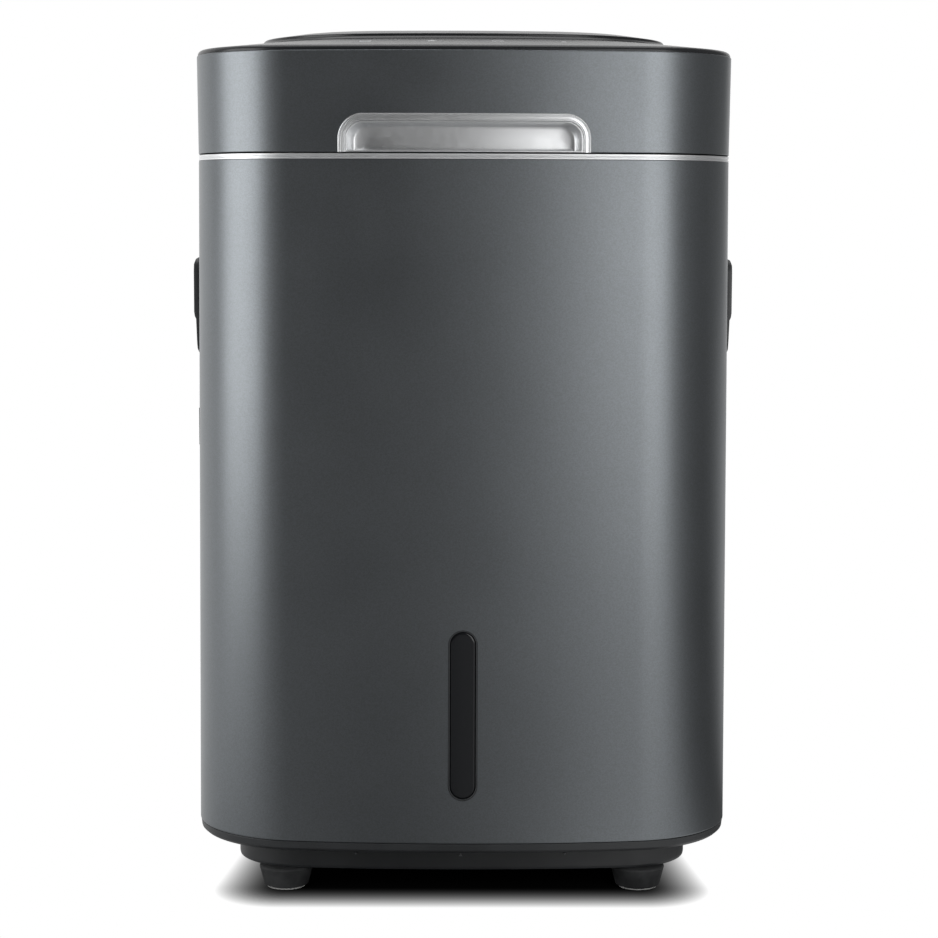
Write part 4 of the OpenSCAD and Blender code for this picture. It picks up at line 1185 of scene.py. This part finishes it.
@dataclass
class Lid:
    """Painted lid wall, black top with its raised panel, and the plated finger recess.

    The mouth is (width, height, corner radius), and the hinge block's notch is (half its width,
    its front, its top). The slope's rings are shares of the way up.
    """

    bottom: float = 401.0
    wall: float = 2.8
    top: float = 453.5
    rise: float = 9.3
    slope: tuple[float, ...] = (0.02, 0.25, 0.5, 0.75, 0.98)
    mouth: tuple[float, float, float] = (132.0, 20.0, 13.0)
    notch: tuple[float, float, float] = (119.6, 144.6, 416.4)
    dish_depth: float = 13.4
    dish_bow: float = 2.0
    upright: int = 6
    turn: int = 14
    marks_x: tuple[float, ...] = (-52.5, -17.5, 17.5, 52.5)
    marks_y: float = -137.0
    mark_r: float = 3.2
    print_h: float = 0.04

    def build(self) -> None:
        """Builds every piece."""
        self.shell()
        panel = self.top_panel()
        self.raised_panel()
        self.touch_marks(panel)
        self.bezel()
        self.dish()

    def shell(self) -> None:
        """The painted wall, open at the finger recess and round the hinge block."""
        low, high, wall = self.bottom, self.top, self.wall
        skin = wall_loft([(0, low, 0.4), (0, high, 0.7), (wall, high, 0), (wall, low, 0.5)])
        w, h, r = self.mouth
        half, front, level = self.notch
        below = 300.0
        cutters = [
            prism(round_rect(w, 2 * h, r, 0, low, 16), Axis.Y, -BEYOND, -130),
            prism(round_rect(2 * half, 2 * (level - below), 2.0, 0, below), Axis.Y, front, BEYOND)]
        place(carve(make("lid_wrap", skin), cutters), PAINT, Body.LID, "lid_shell")

    def top_panel(self) -> Piece:
        """Black panel: a rounded edge on the wall, then a slope up to the raised panel.

        The edge is most of a quarter of an ellipse: its inset is 0.5 + 2.6 (1 - cos t), and it
        rises by 0.05 + 2.7 sin t.

        Returns:
            The panel, which the touch marks are laid on.
        """
        base = self.top
        t = np.radians(np.linspace(0, 84, 9))
        edge = [WALL.ring(i, base + z) for i, z in zip(0.5 + 2.6 * (1 - np.cos(t)), 0.05 + 2.7 * np.sin(t))]
        start = WALL.ring(3.0, base + 2.78)
        end = RAISED.ring(0, base + self.rise)
        slope = [start] + mix(start, end, self.slope) + [end]
        under, under_top = WALL.ring(5.8, base), RAISED.ring(4.0, base + self.rise - 2.4)
        inner = [under_top] + mix(under_top, under, (0.5,)) + [under, WALL.ring(5.8, base - 4)]
        lip = [WALL.ring(3.1, base - 4), WALL.ring(3.1, base + 0.02), WALL.ring(0.6, base + 0.02)]
        panel = make("gloss_top", loft(inner + lip + edge + slope))
        return place(panel, SHEEN, Body.LID, "lid_top_panel")

    def touch_marks(self, panel: Piece) -> None:
        """Four plain printed marks where the touch board's keys are: ring, triangle, bar and dot.

        Args:
            panel: the piece that they are printed on.
        """
        y, r, lift = self.marks_y, self.mark_r, np.array([0, 0, self.print_h])
        ring_x, triangle_x, bar_x, dot_x = self.marks_x
        for name, outline, hole in (
            ("ring", arc(ring_x, y, r, 90, 450, 24), arc(ring_x, y, 0.78 * r, 90, 450, 24)),
            ("triangle", arc(triangle_x, y, r, 90, 450, 3), None),
            ("bar", round_rect(2 * r, 0.5 * r, 0.2 * r, bar_x, y, 4), None),
            ("dot", arc(dot_x, y, 0.4 * r, 90, 450, 16), None),
        ):
            outer = dropped(outline, panel)
            rings = [outer - lift, outer + lift]
            if hole is not None:
                inner = dropped(hole, panel)
                rings += [inner + lift, inner - lift]
            place(make(f"touch_mark_{name}", loft(rings, hole is not None)), INK, Body.LID)

    def raised_panel(self) -> None:
        """Raised panel: a chamfered foot, an upright step and a crown that flattens inwards."""
        z = self.top + self.rise
        crown = (70.0, z + 6.2)
        foot = rounded([
            (2.0, z - 0.2, 0), (0.9, z - 0.1, 0.2), (0.7, z + 0.2, 0.2), (1.9, z + 1.25, 0.3),
            (2.6, z + 1.55, 0.2), (2.9, z + 2.9, 0.7), (19.0, z + 5.4, 8.0), (36.0, z + 5.95, 10.0),
            (60.0, z + 6.2, 0)], closed=False)
        skin = loft([RAISED.ring(i, h) for i, h in [*foot.tolist(), crown]], fold=SIDE_FOLD)
        place(make("raised_top", skin), SHEEN, Body.LID, "lid_inset")

    def arch(self, half: float, high: float, low: float, r: float, across: int) -> Points:
        """Up the right side, over the top with round corners and down the left side.

        Args:
            half: half its width. high, low: levels above the lid's lower edge. r: corner radius.
            across: points of the top.
        Returns:
            (x, z) points without the left side's lowest one.
        """
        z0, shoulder, z1 = self.bottom + low, self.bottom + high - r, self.bottom + high
        side = np.linspace(z0, shoulder, self.upright, endpoint=False)
        over = np.linspace(half - r, r - half, across, endpoint=False)
        back = np.linspace(shoulder, z0, self.upright, endpoint=False)
        return np.concatenate([
            np.stack([np.full(self.upright, half), side], axis=1),
            arc(half - r, shoulder, r, 0, 90, self.turn),
            np.stack([over, np.full(across, z1)], axis=1),
            arc(r - half, shoulder, r, 90, 180, self.turn),
            np.stack([np.full(self.upright, -half), back], axis=1)])

    def bezel(self) -> None:
        """Plated band round the mouth: a bead, a groove, a rising band and a step down.

        The section (inward offset, height above the wall) is carried along the arch.
        """
        section = rounded([
            (0.0, -1.2, 0), (0.0, 0.12, 0.1), (0.3, 0.5, 0.24), (0.75, 0.46, 0.2), (0.95, -0.45, 0.08),
            (1.3, -0.45, 0.08), (1.5, 0.25, 0.15), (2.9, 0.5, 0.2), (3.05, -0.1, 0.05), (3.3, -0.1, 0.05),
            (3.45, 0.5, 0.15), (3.85, 0.45, 0.15), (3.95, -0.4, 0), (3.95, -1.2, 0)], closed=False, steps=3)
        w, h, r = self.mouth
        rows = []
        for u, v in section:
            half = w / 2 - u
            path = np.concatenate([self.arch(half, h - u, 0.0, r - u, 61), [(-half, self.bottom)]])
            rows.append(WALL.on_front(path, -v))
        skin = loft(list(np.stack(rows, axis=1)))
        place(make("mouth_bezel", skin, 60.0), CHROME, Body.LID, "scoop_bezel")

    def dish(self) -> None:
        """The recess: a rim bead, walls that draw in, and a bowed back with soft corners.

        Each row is a D-shaped outline: half its width, its high and low levels, its corner
        radius and its depth. They run forwards along the outside and back along the inside.
        """
        inner = [
            (62.05, 16.0, 0.04, 9.2, 0.5), (62.0, 15.95, 0.06, 9.1, -0.05), (61.75, 15.75, 0.2, 8.95, -0.3),
            (61.4, 15.45, 0.6, 8.8, -0.28), (61.1, 15.2, 0.8, 8.65, 0.05), (60.95, 15.05, 0.85, 8.6, 0.6),
            (60.7, 14.85, 0.88, 8.5, 3.0), (60.2, 14.65, 0.9, 8.4, 7.0), (59.4, 14.4, 0.92, 8.2, 10.5),
            (58.8, 14.15, 0.98, 8.0, 12.2), (58.2, 13.8, 1.1, 7.8, 12.9), (57.4, 13.3, 1.4, 7.4, 13.2),
            (55.5, 12.0, 2.6, 6.0, 13.35), (50.5, 8.4, 7.2, 0.5, 13.37)]
        outer = [(49.0, 9.0, 6.0, 1.4, 14.5), (56.5, 13.6, 1.2, 7.9, 14.1), (60.6, 15.4, 0.1, 8.9, 11.8),
                 (61.9, 15.85, 0.03, 9.1, 6.0)]
        rings = []
        across = 40
        for half, high, low, corner, depth in outer + inner:
            x = np.linspace(-half, half, across, endpoint=False)
            bottom = np.stack([x, np.full(across, self.bottom + low)], axis=1)
            outline = np.concatenate([bottom, self.arch(half, high, low, corner, across)])
            share = np.clip(1 - (outline[:, 0] / half) ** 2, 0, 1) * min(depth / self.dish_depth, 1.0)
            rings.append(WALL.on_front(outline, depth - self.dish_bow * share))
        skin = loft(rings, fold=2 * across + self.upright + self.turn)
        place(make("recess_dish", skin, 50.0), DISH_CHROME, Body.LID, "scoop")


@dataclass
class Works:
    """Fittings and machinery whose CAD shapes stay, with merged flats and rounded edges.

    Each width is the round that its process leaves, in millimetres.
    """

    moulded: float = 0.6
    thin_moulded: float = 0.35
    pressed: float = 0.3
    machined: float = 0.2
    cut: float = 0.12

    def build(self) -> None:
        """Builds every piece, a body and a process at a time."""
        paddles = [f"paddle_{i}" for i in range(1, 6)]
        for body, finish, width, nodes in (
            (Body.CABINET, BLACK_ABS, self.moulded, [
                "grip_left", "grip_right", "hinge_block", "top_deck", "tub_cradle", "intake_duct",
                "blower_housing", "blower_motor", "filter_bay", "board_tray"]),
            (Body.CABINET, BLACK_ABS, self.thin_moulded, ["rear_panel", "switch_frame", "power_inlet"]),
            (Body.CABINET, STEEL, self.pressed, ["tub", "gear_plate", "gearmotor"]),
            (Body.CABINET, TURNED, self.machined, ["hinge_pins"]),
            (Body.CABINET, RUBBER, self.pressed, ["heater_pad"]),
            (Body.CABINET, BRONZE, self.machined, ["shaft_bush_left", "shaft_bush_right"]),
            (Body.CABINET, BOARD, self.cut, ["control_board", "light_board"]),
            (Body.LID, BLACK_ABS, self.moulded, ["lid_liner"]),
            (Body.LID, RUBBER, self.pressed, ["lid_seal"]),
            (Body.LID, STEEL, self.pressed, ["hinge_arm_left", "hinge_arm_right"]),
            (Body.LID, BOARD, self.cut, ["touch_board"]),
            (Body.AGITATOR, TURNED, self.machined, ["agitator_shaft", "gear_nut"]),
            (Body.AGITATOR, STEEL, self.pressed, paddles),
            (Body.AGITATOR, ACETAL, self.cut, ["drive_gear"]),
            (Body.IDLER, ACETAL, self.cut, ["idler_gear"]),
            (Body.PINION, TURNED, self.cut, ["motor_pinion"]),
            (Body.FAN, ACETAL, self.cut, ["blower_wheel"]),
            (Body.SWITCH, BLACK_ABS, self.thin_moulded, ["rocker"]),
            (Body.CASSETTE, BLACK_ABS, self.thin_moulded, ["filter_face"]),
            (Body.CASSETTE, ACETAL, self.thin_moulded, ["filter_tray"]),
            (Body.CASSETTE, CARBON, self.thin_moulded, ["carbon_bed"]),
        ):
            for node in nodes:
                place(softened(node, f"{node}_finished", width), finish, body, node)


@dataclass(frozen=True)
class Seat:
    """Where a screw sits: its axis, its centre across it and the level of its head's underside.

    The way is 1 where the head faces up the axis, and -1 where it faces down.
    """

    axis: Axis
    centre: tuple[float, float]
    level: float
    way: int


@dataclass(frozen=True)
class Screw:
    """A domed pan-head screw with a cross recess.

    Its numbers are the radius and height of the head, and the radius and length of the shank.
    """

    head_r: float
    head_h: float
    shank_r: float
    length: float

    def skin(self, seat: Seat) -> Skin:
        """The solid screw, as a profile turned round its axis.

        Args:
            seat: where it sits.
        Returns:
            The skin.
        """
        r, h, shank = self.head_r, self.head_h, self.shank_r
        profile = np.array([
            (0.35 * shank, -self.length), (0.9 * shank, 1.0 - self.length), (shank, 1.5 - self.length),
            (shank, 0.0), (0.96 * r, 0.0), (r, 0.1 * h), (r, 0.45 * h), (0.94 * r, 0.72 * h),
            (0.78 * r, 0.9 * h), (0.45 * r, h), (0.05 * r, h)])
        rows = list(zip(profile[:, 0], seat.level + seat.way * profile[:, 1]))
        return lathe(rows[::seat.way], seat.axis, seat.centre, 32)

    def recess(self, seat: Seat) -> list[Skin]:
        """The two crossed slots of its recess.

        Args:
            seat: where it sits.
        Returns:
            The cutters.
        """
        r, h = self.head_r, self.head_h
        long, short = 1.15 * r, 0.27 * r
        span = sorted([seat.level + seat.way * 0.4 * h, seat.level + seat.way * (h + 1)])
        return [prism(round_rect(*size, 0.05 * r, *seat.centre, 4), seat.axis, *span)
                for size in ((long, short), (short, long))]


@dataclass
class Screws:
    """Screws in the rear panel, in the base's rim and feet, and in the lid liner.

    Their places are (x, lowest z, highest z), (x, y) and (x, front y, back y).
    """

    rear: tuple[float, float, float] = (84.0, 52.0, 370.0)
    rim: tuple[float, float] = (138.0, 60.0)
    posts: tuple[float, float, float] = (112.0, -92.0, 100.0)
    rear_screw: Screw = Screw(3.2, 1.6, 1.6, 14.0)
    rim_screw: Screw = Screw(3.6, 2.0, 2.0, 20.0)
    foot_screw: Screw = Screw(4.0, 2.4, 2.0, 18.0)
    lid_screw: Screw = Screw(3.4, 0.8, 1.6, 13.2)

    def build(self) -> None:
        """Builds one piece for each of the CAD's screw sets."""
        x, low, high = self.rear
        self.screw_set("screws_rear", Body.CABINET, "rear_screws", [
            (self.rear_screw, Seat(Axis.Y, (a, z), float(WALL.face(a, z, 1.4)), 1))
            for a in (-x, x) for z in (low, high)])
        self.screw_set("screws_base", Body.CABINET, "base_screws", [
            (screw, Seat(Axis.Z, (a, b), level, way))
            for screw, (x, y), level, way in (
                (self.rim_screw, self.rim, 30.2, -1), (self.foot_screw, FEET, 24.0, 1))
            for a in (-x, x) for b in (-y, y)])
        x, front, back = self.posts
        self.screw_set("screws_lid", Body.LID, "lid_screws", [
            (self.lid_screw, Seat(Axis.Z, (a, b), 402.0, -1)) for a in (-x, x) for b in (front, back)])

    def screw_set(self, name: str, body: Body, node: str, screws: list[tuple[Screw, Seat]]) -> None:
        """Joins a set of screws, cuts their recesses and places them.

        Args:
            name: the piece's name. body: what it rides on. node: the CAD node it replaces.
            screws: each screw with its seat.
        """
        skins = [screw.skin(seat) for screw, seat in screws]
        cutters = [cut for screw, seat in screws for cut in screw.recess(seat)]
        place(carve(make(name, sum(skins[1:], skins[0])), cutters), TURNED, body, node)


def main() -> None:
    """Builds the studio and the sub-assemblies in order."""
    logging.basicConfig(level=logging.INFO, format="%(name)s %(message)s")
    Studio().build()
    Cabinet().build()
    Lid().build()
    Works().build()
    Screws().build()


if __name__ == "__main__":
    main()
